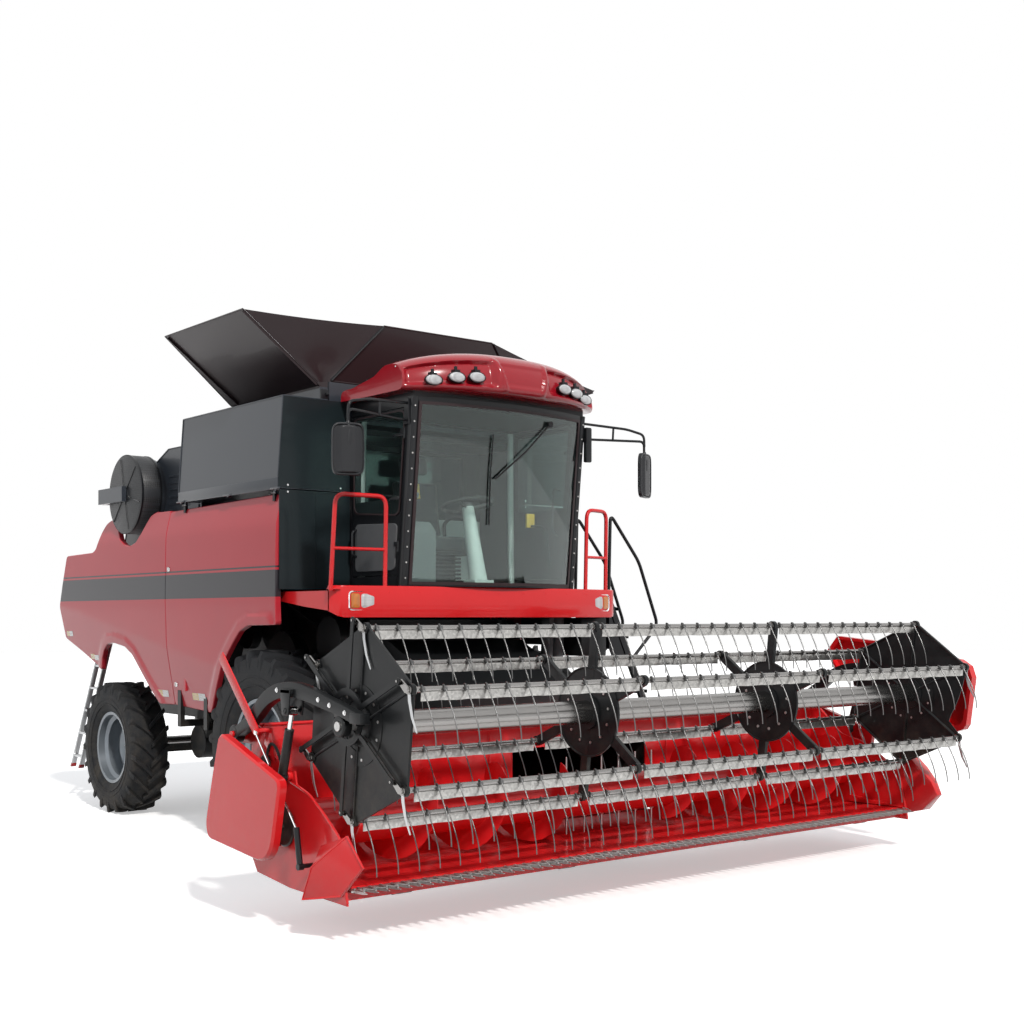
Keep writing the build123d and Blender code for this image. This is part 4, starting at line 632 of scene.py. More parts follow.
def tyre(axle, side):
    wheel, where = WHEELS[axle], side_name(side)
    body = f"{axle}_wheel_{where}"
    half, top, seat, lug = wheel["width"] / 2, wheel["radius"], wheel["seat"], wheel["lug"]
    wall = top - seat
    outer = [(0.72, seat + 3), (0.73, seat + 20), (0.80, seat + 26), (0.92, seat + 0.24 * wall),
        (0.985, seat + 0.42 * wall), (0.985, seat + 0.60 * wall), (0.93, top - lug - 22),
        (0.80, top - lug - 4), (0.45, top - lug + 3), (0.15, top - lug + 5)]
    inner = [(-0.60, seat + 2), (-0.62, seat + 40), (0.62, seat + 40), (0.60, seat + 2)]
    ring = [(half * f, r) for f, r in inner + outer] + [(-half * f, r) for f, r in reversed(outer)]
    centre = (side * wheel["x"], wheel["y"], wheel["radius"])
    carcass = Stock().turned(ring, centre, sides=72)
    # rings moulded on both side walls
    for face in (-1, 1):
        for share, proud in ((0.30, 5), (0.47, 4)):
            r, x = seat + share * wall, face * half * (0.955 if share < 0.4 else 0.985)
            carcass.turned([(x, r - 6), (x + face * proud, r - 3), (x + face * proud, r + 3), (x, r + 6)],
                centre, sides=72)
    carcass.done(f"{axle}_tyre_{where}", "tyre_rubber", body, solid=f"{axle}_tyre_{where}", sharp=50)
    bar = Stock()
    lean = radians(17)
    for face in (-1, 1):
        sections = []
        phase = 0 if face > 0 else pi / wheel["lugs"]
        for share, rise in ((-0.06, 1.0), (0.18, 1.0), (0.45, 1.0), (0.72, 0.985), (0.93, 0.93),
                (0.985, 0.62), (0.97, 0.25)):
            x = face * half * share
            turn = phase + lean * min(1.0, max(0, share)) ** 0.85
            sunk = (28 if share > 0.9 else 0) + (70 if rise < 0.7 else 0) + (60 if rise < 0.3 else 0)
            base = top - lug - 6 - sunk
            crest = top - lug + lug * rise - (0 if rise > 0.9 else (1 - rise) * 90)
            foot, head = 26 + 6 * share, 15 + 6 * share
            ring = []
            for offset, r in ((-foot, base), (foot, base), (head, crest), (-head, crest)):
                angle = turn + offset / top
                ring.append((centre[0] + x, centre[1] + r * sin(angle), centre[2] + r * cos(angle)))
            sections.append(ring)
        bar.loft(sections)
    repeated(bar, f"{axle}_lugs_{where}", "tyre_rubber", body, wheel["lugs"], centre=centre, sharp=28)


def rim(axle, side):
    wheel = WHEELS[axle]
    half, seat, dish, bolt_ring = wheel["width"] / 2 * 0.72, wheel["seat"], RIM_DISC, wheel["bolts"]
    centre = (side * wheel["x"], wheel["y"], wheel["radius"])
    where = side_name(side)
    body = f"{axle}_wheel_{where}"
    shell = Stock()
    barrel = [(-half - 12, seat + 18), (-half - 4, seat + 20), (-half, seat), (-half * 0.55, seat - 4),
        (-half * 0.4, seat - 38), (half * 0.4, seat - 38), (half * 0.55, seat - 4), (half, seat),
        (half + 4, seat + 20), (half + 12, seat + 18), (half + 8, seat - 10), (half * 0.62, seat - 16),
        (half * 0.45, seat - 50), (-half * 0.45, seat - 50), (-half * 0.62, seat - 16),
        (-half - 8, seat - 10)]
    shell.turned(barrel, centre, sides=72)
    face = [(dish - 2, seat - 46), (dish + 26, seat - 80), (dish + 34, seat - 120),
        (dish + 8, bolt_ring + 60), (dish - 8, bolt_ring + 20), (dish - 8, 60)]
    profile = [(side * x, r) for x, r in face] + [(side * (x - 13), r) for x, r in reversed(face)]
    shell.turned(profile, centre, sides=72)
    shell.done(f"{axle}_rim_{where}", "rim_silver", body, solid=f"{axle}_rim_{where}", sharp=38)
    hub = Stock()
    reach = 130 if axle == "front" else 125
    inside = -side * reach
    hub.turned([(inside, 20), (inside, bolt_ring * 0.88), (inside + side * 16, bolt_ring * 0.88),
        (inside + side * 18, bolt_ring * 0.6), (side * (dish + 4), bolt_ring * 0.6),
        (side * (dish + 34), bolt_ring * 0.52), (side * (dish + 52), bolt_ring * 0.40),
        (side * (dish + 56), 20)], centre, sides=40)
    hub.done(f"{axle}_hub_{where}", "frame_black", body, sharp=30)
    stud = Stock()
    x0 = side * (dish - 8)
    stud.turned([(x0, 1), (x0, 17), (x0 + side * 7, 17), (x0 + side * 8, 13), (x0 + side * 22, 12),
        (x0 + side * 24, 7), (x0 + side * 34, 6), (x0 + side * 35, 1)],
        (centre[0], centre[1] + bolt_ring, centre[2]), sides=6)
    repeated(stud, f"{axle}_wheel_nuts_{where}", "knife_steel", body, wheel["studs"], centre=centre,
        sharp=30)


for axle in WHEELS:
    for side in (-1, 1):
        tyre(axle, side)
        rim(axle, side)


# ---- the reel ----
REEL = dict(y=-3280, z=1273, radius=550, start=96.4, bats=6, plates=(-2605, -868, 868, 2605))
REEL_AXIS = (0, REEL["y"], REEL["z"])
TUBE_RADIUS, STRIP_HEIGHT, TINE_PITCH, TINES_PER_SPAN = 17, 62, 147, 12
TINE_REACH, TINE_DROP, STRIP_PARTS = 118, 305, 36
TINE_COURSE = [(sin(radians(90 * t)), t) for t in (0.1, 0.2, 0.32, 0.45, 0.6, 0.75, 0.88, 1.0)]
END_TINE = [(12, 14), (-12, 14), (-17, -60), (-40, -150), (-78, -226), (-70, -229), (-22, -150), (6, -60)]


def bat_place(k, radius=REEL["radius"]):
    return polar(REEL["start"] + k * 360 / REEL["bats"], radius, REEL_AXIS[1:])


def reel_bat(k):
    """One bat: tube with its crank, waved strips between the plates, and wire tines over them."""
    y, z = bat_place(k)
    body = f"bat_{k + 1}"
    tube = Stock().sleeve(-2640, 2644, 2, TUBE_RADIUS, (0, y, z), sides=14)
    for x in REEL["plates"]:
        for beside in (-16, 16):
            tube.sleeve(x + beside - 7, x + beside + 7, TUBE_RADIUS, 25, (0, y, z), sides=14)
    dy, dz = 60, 45
    length = hypot(dy, dz)
    side = (-dz / length * 15, dy / length * 15)
    tube.plate_x([(y - side[0] * 1.4, z - side[1] * 1.4), (y + dy - side[0], z + dz - side[1]),
        (y + dy * 1.2, z + dz * 1.2), (y + dy + side[0], z + dz + side[1]),
        (y + side[0] * 1.4, z + side[1] * 1.4), (y - dy * 0.3, z - dz * 0.3)], -2641, -2631)
    tube.sleeve(-2663, -2640, 1, 7.5, (0, y + dy, z + dz), sides=10)
    tube.done(f"bat_tube_{k + 1}", "bright_tube", body, solid=f"reel_bat_{k + 1}")
    ends = Stock()
    for s in (-1, 1):
        ends.plate_x([(y + dy, z + dz) for dy, dz in END_TINE], *sided(s, 2619, 2623))
    ends.done(f"bat_end_tines_{k + 1}", "ladder_aluminium", body)
    strip = Stock()
    for left, right in zip(REEL["plates"], REEL["plates"][1:]):
        columns = []
        for i in range(STRIP_PARTS + 1):
            x = left + 50 + (right - left - 100) * i / STRIP_PARTS
            wave = 2.2 * sin(i * 1.9 + k) + 1.6 * sin(i * 0.7 + 2 * k)
            drop = STRIP_HEIGHT + 1.5 * sin(i * 1.3 + k)
            columns.append([(x, y - 14, z - 13), (x, y - 20 + wave * 0.4, z - drop * 0.45),
                (x, y - 18 + wave, z - drop), (x, y - 15 + wave, z - drop),
                (x, y - 16.5 + wave * 0.4, z - drop * 0.45), (x, y - 10.5, z - 13)])
        strip.loft(columns)
    strip.done(f"bat_strips_{k + 1}", "bat_strip", body, sharp=45)
    for number, left in enumerate(REEL["plates"][:-1]):
        x = left + 60
        wire_bar = Stock()
        route = [(x + 14, y + 20, z + 2), (x + 9, y + 6, z + 22), (x, y - 14, z + 20), (x, y - 25, z + 4)]
        route += [(x, y - 25 - TINE_REACH * ahead, z - TINE_DROP * down) for ahead, down in TINE_COURSE]
        wire_bar.pipe(route, lambda t: 5.0 - 1.4 * t, sides=6)
        wire_bar.plate_y([(x - 11, z - 12), (x + 11, z - 12), (x + 11, z + 12), (x - 11, z + 12)], y - 31,
            y - 16)
        repeated(wire_bar, f"tines_{k + 1}_{number + 1}", "tine_wire", body, TINES_PER_SPAN,
            step=(TINE_PITCH, 0, 0), sharp=60)


for k in range(REEL["bats"]):
    reel_bat(k)


def reel_centre():
    """The bright centre tube and its stub shafts, apart from the black plates."""
    tube = Stock().sleeve(-2600, 2600, 30, 75, REEL_AXIS, sides=40)
    tube.done("reel_tube", "bright_tube", "reel", sharp=40)
    shaft = Stock()
    for s in (-1, 1):
        shaft.turned([(s * 2590, 1), (s * 2590, 28), (s * 2757, 28), (s * 2760, 24), (s * 2760, 1)],
            REEL_AXIS, sides=24)
    shaft.done("reel_stub_shafts", "knife_steel", "reel", solid="reel_rotor")


FAR_NOTCH = [(575, 156.4), (530, 163), (490, 172), (455, 182), (430, 192), (415, 202), (420, 209),
    (575, 214)]


def end_plate(s):
    """A closed six-sided plate with folded ribs out to the bats; the left one is cut back at the front."""
    x = s * 2605
    plate = Stock()
    outline = [bat_place(k, 575) for k in range(6)]
    if s > 0:
        notch = [polar(turn, r, REEL_AXIS[1:]) for r, turn in FAR_NOTCH]
        outline[1:3] = notch + [outline[2]]
    plate.plate_x(outline, x - 4, x + 4)
    for k in range(6):
        (ya, za), (yb, zb) = bat_place(k, 85), bat_place(k, 540)
        plate.pipe([(x - s * 6, ya, za), (x - s * 6, yb, zb)], 12, sides=8, flat=0.6)
        plate.pipe([(x + s * 4, ya, za), (x + s * 4, yb, zb)], 12, sides=8, flat=0.6)
        y, z = bat_place(k)
        plate.sleeve(x - 12, x + 12, 18, 34, (0, y, z), sides=20)
        if s < 0 or k != 1:
            (y1, z1), (y2, z2) = bat_place(k, 566), bat_place(k + 1, 566)
            plate.pipe([(x - s * 8, y1, z1), (x - s * 8, y2, z2)], 9, sides=6)
    for r0, r1, w in ((60, 120, 12), (150, 232, 8)):
        plate.sleeve(x - w, x + w, r0, r1, REEL_AXIS, sides=36)
    return plate


def open_plate(x):
    """A round plate with a rim, and six channel arms out to the bats."""
    plate = Stock().turned([(x - 4, 70), (x - 4, 280), (x - 12, 284), (x - 12, 290), (x + 4, 290),
        (x + 4, 70)], REEL_AXIS, sides=48)
    plate.sleeve(x - 22, x + 22, 74, 112, REEL_AXIS, sides=32)
    for k in range(6):
        c, i = polar(REEL["start"] + k * 60)

        def at(r, w):
            return REEL["y"] + c * r - i * w, REEL["z"] + i * r + c * w

        plate.plate_x([at(r, w) for r, w in ((110, 31), (548, 31), (566, 16), (566, -16), (548, -31),
            (110, -31))], x - 5, x + 5)
        for w in (-29, 29):
            plate.plate_x([at(r, w + dw) for r, dw in ((120, -3), (546, -3), (546, 3), (120, 3))], x + 3,
                x + 24)
        y, z = bat_place(k)
        plate.sleeve(x - 14, x + 14, 18, 34, (0, y, z), sides=18)
    return plate


reel_centre()
for number, x in enumerate(REEL["plates"]):
    stock = end_plate(1 if x > 0 else -1) if abs(x) > 2000 else open_plate(x)
    stock.done(f"reel_plate_{number + 1}", "frame_black", "reel", sharp=35)
    seats = [(x, *polar(REEL["start"] + 15 + 30 * k, 196, REEL_AXIS[1:])) for k in range(12)]
    bolts(f"reel_plate_bolts_{number + 1}", seats, "X", "reel", radius=9, height=20, finish="knife_steel")


# ---- the cutting table ----
AUGER_Y, AUGER_Z, AUGER_TUBE, AUGER_FLIGHT, AUGER_TURNS, TURN_STEPS = -2560, 625, 150, 283, 3.75, 22


def auger():
    centre = (0, AUGER_Y, AUGER_Z)
    drum = Stock().sleeve(-2636, 2636, 40, AUGER_TUBE, centre, sides=48)
    for s in (-1, 1):
        rows = []
        for i in range(int(AUGER_TURNS * TURN_STEPS) + 1):
            share = i / (AUGER_TURNS * TURN_STEPS)
            turn = s * 2 * pi * AUGER_TURNS * share
            x = s * (2610 - 2120 * share)
            flight = AUGER_FLIGHT - 40 * max(0, share - 0.9) / 0.1
            rows.append([(x + dx, AUGER_Y + r * cos(turn), AUGER_Z + r * sin(turn))
                for dx, r in ((-3, 147), (-3, flight), (3, flight), (3, 147))])
        drum.loft(rows)
    drum.done("table_auger", "red_enamel", "auger", solid="header_auger", sharp=35)
    finger = Stock().pipe([(-420, AUGER_Y, AUGER_Z + 140), (-420, AUGER_Y, AUGER_Z + 272)],
        lambda t: 8 - 2.5 * t, sides=8)
    finger.turned([(0, 9), (0, 20), (9, 16), (10, 9)], (-420, AUGER_Y, AUGER_Z + 148), axis="Z", sides=10)
    row = repeated(finger, "auger_fingers", "knife_steel", "auger", 6, step=(168, 0, 0))
    grown(row, RING, "knife_steel", Count=4, Centre=tuple(place(*centre)), Axis=(1, 0, 0))
    finished(row, "knife_steel", "auger")


def fingers():
    """Forged guards with their lips, on the finger bar, and the bar itself."""
    y, z, left, pitch, count = -3235, 338, -2629, 76.2, 69
    bar = Stock().block(-2630, 2630, y + 6, y + 60, z - 16, z - 4)
    bar.done("finger_bar", "knife_steel", "header", solid="cutter_bar")
    guard = Stock()
    x = left + pitch / 2
    body = ((58, 20, -20, -3), (4, 22, -20, -3), (-10, 13, -20, -3), (-62, 7, -19, -5), (-98, 3, -13, -9))
    for taper, sections in ((0.8, body), (1, ((-2, 9, 6, 15), (-40, 6, 6, 12), (-72, 4, -6, -2)))):
        rows = []
        for dy, w, low, high in sections:
            corners = ((-w, low), (w, low), (w * taper, high), (-w * taper, high))
            rows.append([(x + dx, y + dy, z + dz) for dx, dz in corners])
        guard.loft(rows, -1)
    repeated(guard, "knife_guards", "knife_steel", "header", count, step=(pitch, 0, 0), sharp=35)
    rivets = [(left + pitch * (k + 0.5), y + 36, z - 2) for k in range(count)]
    bolts("guard_bolts", rivets, "Z", "header", radius=7, height=6, finish="knife_steel")


def end_covers():
    """The big pressed cover over the drives at each end of the table, its frame, and the crop divider."""
    outline = [(-2050, 1168), (-2800, 928), (-2708, 540), (-2650, 462), (-2560, 432), (-1892, 492),
        (-1862, 580), (-1950, 880)]
    for s, where in ((1, "left"), (-1, "right")):
        cover = Stock().pressed(outline, s * 2792, s * 2849, corner=52, edge=14)
        for y, z in ((-2500, 520), (-2180, 600), (-2180, 900)):
            cover.block(*sided(s, 2663, 2800), y - 18, y + 18, z - 18, z + 18)
        ridge = [(-2040, 1120), (-2745, 900)]
        cover.pipe([(s * 2841, y, z) for y, z in ridge], 7, sides=8)
        shields = "header_end_shields" if s > 0 else None
        cover.done(f"end_cover_{where}", "red_enamel", "header", solid=shields, sharp=30)
    # crop dividers: a small folded board on the right, a tall wedge on the left
    board = Stock()
    near, far = -2664, -2762
    points = [(near, -3236, 646), (near, -3404, 492), (near, -3183, 300), (far, -2912, 252),
        (far, -3012, 452), (near, -2960, 560), (near, -2930, 262)]
    board.shell(points, [[0, 1, 2, 3, 4], [0, 4, 5], [4, 3, 6, 5], [3, 2, 6], [0, 5, 6, 2, 1]])
    board.pipe([points[0], points[1], points[2]], 8, sides=8)
    board.pipe([points[0], points[4], points[3], points[2]], 6, sides=8)
    board.done("crop_divider_right", "red_enamel", "header", bevel=2, sharp=30)
    wedge = Stock().plate_x([(-3503, 471), (-3444, 574), (-3225, 768), (-2990, 640), (-2904, 449),
        (-2904, 252), (-3187, 294), (-3365, 338)], 2664, 2786)
    wedge.cut_back((2662, -3700, 500), (500, -170, 0))
    wedge.done("crop_divider_left", "red_enamel", "header", bevel=6, sharp=30)


def table_trim():
    """Folded edges, stiffeners and wear shoes on the table."""
    trim = Stock().pipe([(-2650, -2256, 1216), (2650, -2256, 1216)], 11, sides=8)
    for s in (-1, 1):
        edge = [(-3230, 262), (-3150, 622), (-2980, 742), (-2810, 842), (-2580, 902), (-2250, 1192),
            (-2132, 1216)]
        trim.pipe([(s * 2656, y, z) for y, z in edge], 9, sides=8, bend=40)
        for x in (900, 1500, 2100):
            trim.plate_x([(-2242, 1090), (-2242, 640), (-2215, 640), (-2200, 1060)], s * x - 4, s * x + 4)
        # fillets between the end sheet and the floor
        trim.prism([(s * 2648, -3200, 350), (s * 2648, -2700, 350), (s * 2648, -2700, 400)], (-s * 45, 0, 0))
    for x in (-1750, -875, 0, 875, 1750):
        trim.pipe([(x, -2266, 700 if abs(x) > 700 else 985), (x, -2266, 1080)], 5, sides=6)
    trim.block(-655, 655, -2342, -2246, 402, 412)
    trim.done("table_trim", "red_enamel", "header", sharp=40)
    shoes = Stock()
    for x in (-2200, -900, 900, 2200):
        shoes.plate_x([(-3164, 276), (-3108, 247), (-2648, 246), (-2590, 300), (-2600, 304), (-2650, 252),
            (-3106, 253), (-3160, 282)], x - 66, x + 66)
    shoes.done("wear_shoes", "frame_black", "header")
    seats = [(s * x, -2243, 1180) for s in (-1, 1) for x in range(200, 2600, 240)]
    bolts("table_bolts", seats, "Y", "header", radius=8, height=10, finish="knife_steel")


def table_drives():
    """Chain wheels and their shafts behind the end covers."""
    drive = Stock()
    for s in (-1, 1):
        for y, z, r in ((-2560, 625, 120), (-2180, 760, 80), (-2330, 980, 60)):
            drive.turned([(s * 2668, 14), (s * 2668, r - 8), (s * 2674, r), (s * 2682, r), (s * 2688, r - 8),
                (s * 2688, 14)], (0, y, z), sides=36)
            drive.turned([(s * 2640, 1), (s * 2640, 16), (s * 2720, 16), (s * 2722, 1)], (0, y, z), sides=16)
    drive.done("table_chain_wheels", "frame_black", "header", sharp=35)


auger()
fingers()
end_covers()
table_trim()
table_drives()


# ---- reel arms, and the lever and struts beside them ----
def reel_arms():
    spine = [(-2050, 1150), (-2190, 1215), (-2300, 1278), (-2423, 1380), (-2564, 1438), (-2760, 1462),
        (-2948, 1436), (-3130, 1396), (-3306, 1362), (-3470, 1318)]
    centre = corners_rounded(upright(spine), 70, 4, closed=False)
    for s, where in ((1, "left"), (-1, "right")):
        arm = Stock()
        rows = []
        for i, p in enumerate(centre):
            ahead = (centre[min(i + 1, len(centre) - 1)] - centre[max(i - 1, 0)]).normalized()
            up = Vector((0, -ahead.z, ahead.y))
            if up.z < 0:
                up = -up
            share = i / (len(centre) - 1)
            half = 34 + 12 * sin(pi * min(1, share * 1.15))
            ring = []
            for x, h in ((-29, -1), (29, -1), (29, 1), (-29, 1)):
                q = p + up * (half * h)
                ring.append((s * (2720 + x), q.y, q.z))
            rows.append(ring)
        arm.loft(rows)
        for y, z, inner, outer in ((-2050, 1150, 21, 58), (-3280, 1273, 29, 60)):
            arm.turned([(-30, inner), (-30, outer - 6), (-24, outer), (24, outer), (30, outer - 6),
                (30, inner)], (s * 2720, y, z), sides=32)
        arm.block(*sided(s, 2694, 2746), -3326, -3234, 1322, 1372)
        arm.block(*sided(s, 2688, 2752), -3510, -3400, 1296, 1356)
        arm.block(*sided(s, 2668, 2772), -2785, -2675, 1434, 1460)
        for a, b in ((2668, 2677), (2763, 2772)):
            arm.plate_x([(-2790, 1458), (-2670, 1458), (-2694, 1304), (-2766, 1304)], *sided(s, a, b))
        arm.turned([(-58, 1), (-58, 18), (-50, 19), (-50, 12.9), (50, 12.9), (50, 19), (58, 18), (58, 1)],
            (s * 2720, -2730, 1330), sides=20)
        arm.done("reel_arm_" + where, "frame_black", "reel_arms", solid="reel_arms" if s > 0 else None,
            bevel=4)
        seats = [(s * 2749, y, z) for y, z in ((-3070, 1412), (-3190, 1386), (-3350, 1352), (-2600, 1448))]
        bolts("reel_arm_bolts_" + where, seats, "X", "reel_arms", radius=11, height=18, finish="chrome_rod")


def strut_gear():
    """A lever on the near end of the table, with the thin rod and damper that it works."""
    x = -2760
    lever = Stock().plate_x([(-1885, 1611), (-1933, 1661), (-2388, 1215), (-2385, 1170), (-2339, 1165)],
        x - 5, x + 5)
    lever.plate_x([(-2330, 1195), (-2400, 1205), (-2430, 1010), (-2300, 1105)], -2672, -2664)
    lever.sleeve(x - 12, -2664, 1, 15, (0, -2363, 1190), sides=18)
    lever.done("reel_lever", "red_enamel", "header", bevel=1.5)
    rod = Stock().pipe([(x - 8, -2363, 1190), (x - 8, -2862, 648)], 6, sides=8)
    rod.sleeve(x - 14, x - 2, 1, 14, (0, -2372, 1181), sides=14)
    rod.done("lever_rod", "chrome_rod", "header")
    damper = Stock().pipe([(x - 8, -2858, 664), (x - 8, -2896, 455)], 18, sides=14)
    damper.sleeve(x - 24, x + 10, 1, 20, (0, -2898, 440), sides=14)
    damper.block(x - 4, -2664, -2905, -2880, 430, 452)
    damper.done("lever_damper", "cab_black", "header")
    hose = Stock().pipe([(-2690, -2560, 980), (-2680, -2470, 1100), (-2680, -2380, 1120),
        (-2680, -2330, 960), (-2672, -2320, 800)], 9, sides=8, bend=80)
    hose.done("ram_hose_right", "belt_rubber", "header")


reel_arms()
strut_gear()


# ---- side sheets ----
SKIN_X, WAIST = 1550, 2600
LIP_HEIGHT, LIP_WIDTH, FLANGE, CELL = 13, 88, 42, 26
FRONT_ARCH = [(-300, 1826), (10, 1822), (150, 1775), (290, 1665), (460, 1513), (640, 1300), (812, 1078)]
FRONT_SHEET = [(-440, 2835), (-418, 1826)] + FRONT_ARCH + [(1530, 1110), (1490, 2805)]
REAR_ARCH = [(3110, 1372), (3052, 1482), (2970, 1570), (2850, 1634), (2694, 1645), (2440, 1612),
    (2290, 1535), (2130, 1366), (1986, 1219), (1846, 1104)]
REAR_SHEET = [(1546, 1110), (1506, 2818), (1800, 2820), (1900, 2796), (1965, 2730), (2040, 2640),
    (2140, 2562), (2270, 2530), (2400, 2548), (2500, 2600), (2580, 2690), (2640, 2775), (2790, 2800),
    (2880, 2770), (2950, 2700), (3010, 2600), (3060, 2535), (3140, 2502), (3790, 2490), (3900, 2220),
    (3985, 1975), (3955, 1672), (3570, 1545)] + REAR_ARCH


def crease(y):
    return 1480 + 520 / 3340 * (y - 650)


def soft(value, width):
    return (value + sqrt(value * value + width * width)) / 2


def skin_depth(y, z):
    return SKIN_X - 0.13 * soft(crease(y) - z, 16) - 0.22 * soft(z - WAIST, 40) - 0.045 * soft(2010 - z, 14)


def distance_to(route, y, z):
    best = 1e9
    for (ya, za), (yb, zb) in zip(route, route[1:]):
        dy, dz = yb - ya, zb - za
        t = max(0, min(1, ((y - ya) * dy + (z - za) * dz) / (dy * dy + dz * dz)))
        best = min(best, hypot(y - ya - t * dy, z - za - t * dz))
    return best


def side_sheet(name, outline, arch, s, body, solid):
    """A pressed sheet: folds, a raised lip round the wheel arch, and edges turned inwards."""
    stock = Stock()
    mesh = stock.mesh
    points = corners_rounded(upright(outline), 26, 4)
    mesh.faces.new([mesh.verts.new(p) for p in points])
    for axis in (1, 2):
        low, high = min(p[axis] for p in points), max(p[axis] for p in points)
        across = Vector((0, 1, 0)) if axis == 1 else Vector((0, 0, 1))
        for k in range(1, int((high - low) / CELL)):
            bmesh.ops.bisect_plane(mesh, geom=mesh.verts[:] + mesh.edges[:] + mesh.faces[:],
                plane_co=across * (low + k * CELL), plane_no=across, dist=0.01)
    outward = {}
    for edge in [e for e in mesh.edges if len(e.link_faces) == 1]:
        a, b = edge.verts
        side = Vector((0, b.co.z - a.co.z, a.co.y - b.co.y)).normalized()
        if side.dot((a.co + b.co) / 2 - edge.link_faces[0].calc_center_median()) < 0:
            side = -side
        for vert in edge.verts:
            outward[vert] = outward.get(vert, Vector()) + side
    rim = [e for e in mesh.edges if len(e.link_faces) == 1]
    for vert in mesh.verts:
        y, z = vert.co.y, vert.co.z
        raised = max(0, min(1, (LIP_WIDTH - distance_to(arch, y, z)) / 22))
        vert.co.x = skin_depth(y, z) - 14 + LIP_HEIGHT * raised
    for drop, reach in ((5, 5), (FLANGE, 0)):
        made = bmesh.ops.extrude_edge_only(mesh, edges=rim)["geom"]
        fresh = [g for g in made if isinstance(g, bmesh.types.BMVert)]
        rim = [g for g in made if isinstance(g, bmesh.types.BMEdge) and all(v in fresh for v in g.verts)]
        for vert in fresh:
            near = [e.other_vert(vert) for e in vert.link_edges if e.other_vert(vert) in outward]
            if near:
                push = outward[near[0]].normalized()
                outward[vert] = push
                vert.co += push * reach - Vector((drop, 0, 0))
    for vert in mesh.verts:
        vert.co = place(s * vert.co.x, vert.co.y, vert.co.z)
    return stock.done(name, "side_red_painted_shade", body, solid=solid, sharp=24, gauge=3)


def patch_on_skin(name, quads, s, finish, body):
    """Flat patches that lie on the side sheet, such as reflectors."""
    stock = Stock()
    for (y0, z0), (y1, z1) in quads:
        ring = [(y0, z0), (y1, z0), (y1, z1), (y0, z1)]
        stock.prism([(s * (skin_depth(y, z) - 11), y, z) for y, z in ring], (s * 1.5, 0, 0))
    stock.done(name, finish, body)


REFLECTORS = (
    ("shield_reflector_amber_", "band_yellow", "shield",
     [((-240, 1840), (-150, 1896)), ((1020, 1166), (1145, 1228))]),
    ("shield_reflector_white_", "band_white", "shield",
     [((-330, 1840), (-240, 1896)), ((895, 1166), (1020, 1228))]),
    ("rear_reflector_amber_", "band_yellow", "machine",
     [((1760, 1168), (1880, 1228)), ((3820, 1690), (3900, 1740)), ((3250, 1470), (3350, 1520))]),
    ("rear_reflector_white_", "band_white", "machine",
     [((1640, 1168), (1760, 1228)), ((3740, 1690), (3820, 1740)), ((3150, 1460), (3250, 1510))]),
)


def side_of_machine(s):
    where = side_name(s)
    shield = "shield_" + where
    side_sheet("front_side_sheet_" + where, FRONT_SHEET, FRONT_ARCH, s, shield, "side_shield_" + where)
    side_sheet("rear_side_sheet_" + where, REAR_SHEET, REAR_ARCH, s, "machine",
        "rear_side_panels" if s > 0 else None)
    for name, colour, body, quads in REFLECTORS:
        patch_on_skin(name + where, quads, s, colour, shield if body == "shield" else body)
    knuckles = Stock()
    for y in (-370, 1180):
        knuckles.sleeve(y + 1, y + 35, 9, 12, (s * 1512, 0, 2852), axis="Y", sides=20)
        knuckles.block(*sided(s, 1482, 1508), y + 1, y + 35, 2786, 2850)
    knuckles.done("shield_hinges_" + where, "frame_black", shield)
    latch = Stock()
    for y, z in ((1440, 1290), (1440, 2300)):
        x = skin_depth(y, z) - 10
        latch.turned([(0, 1), (0, 22), (s * 7, 20), (s * 8, 1)], (s * x, y, z), sides=20)
        latch.block(*sided(s, x + 2, x + 14), y - 4, y + 4, z - 17, z + 17)
    latch.done("shield_latches_" + where, "chrome_rod", shield)
    # stiffeners behind the sheets, and the brackets of the rear one
    rib = Stock()
    for y in (60, 640, 1260):
        low = 1960 if y < 300 else 1700 if y < 900 else 1240
        rib.plate_x([(y - 20, low), (y + 20, low), (y + 20, 2600), (y - 20, 2600)], *sided(s, 1428, 1478))
    rib.done("shield_ribs_" + where, "side_red_painted_shade", shield)
    fixed = Stock()
    for y in (3200, 3700):
        fixed.block(*sided(s, 1438, 1522), y - 20, y + 20, 2440, 2462)
    fixed.done("rear_sheet_brackets_" + where, "frame_black")


for s in (-1, 1):
    side_of_machine(s)


# ---- cab roof ----
ROOF_HALF, ROOF_REAR, ROOF_FRONT = 965, -465, -1612
ROOF_FOOT, ROOF_RISE = 3550, 378   # of the section; the shell itself stands on ROOF_LOW
ROOF_LOW, ROOF_CREST = 3590, 3935
ROOF_SECTION = [(-465, 3560), (-465, 3690), (-760, 3800), (-1050, 3897), (-1250, 3928), (-1380, 3925),
    (-1470, 3900), (-1540, 3850), (-1585, 3780), (-1606, 3700), (-1612, 3620), (-1600, 3575), (-1570, 3552),
    (-1500, 3550), (-1000, 3550)]


def along(route, pieces):
    """Evenly spaced points along a route of (y, z) points."""
    lengths = [0]
    for (ya, za), (yb, zb) in zip(route, route[1:]):
        lengths.append(lengths[-1] + hypot(yb - ya, zb - za))
    out, k = [], 0
    for i in range(pieces + 1):
        want = lengths[-1] * i / pieces
        while k < len(lengths) - 2 and lengths[k + 1] < want:
            k += 1
        t = (want - lengths[k]) / (lengths[k + 1] - lengths[k])
        out.append(tuple(a + (b - a) * t for a, b in zip(route[k], route[k + 1])))
    return out


def step_in(value, low, high, width):
    """1 inside low..high, falling to 0 over width beyond each end."""
    rise = max(0, min(1, (value - low + width) / width)) * max(0, min(1, (high + width - value) / width))
    return rise * rise * (3 - 2 * rise)


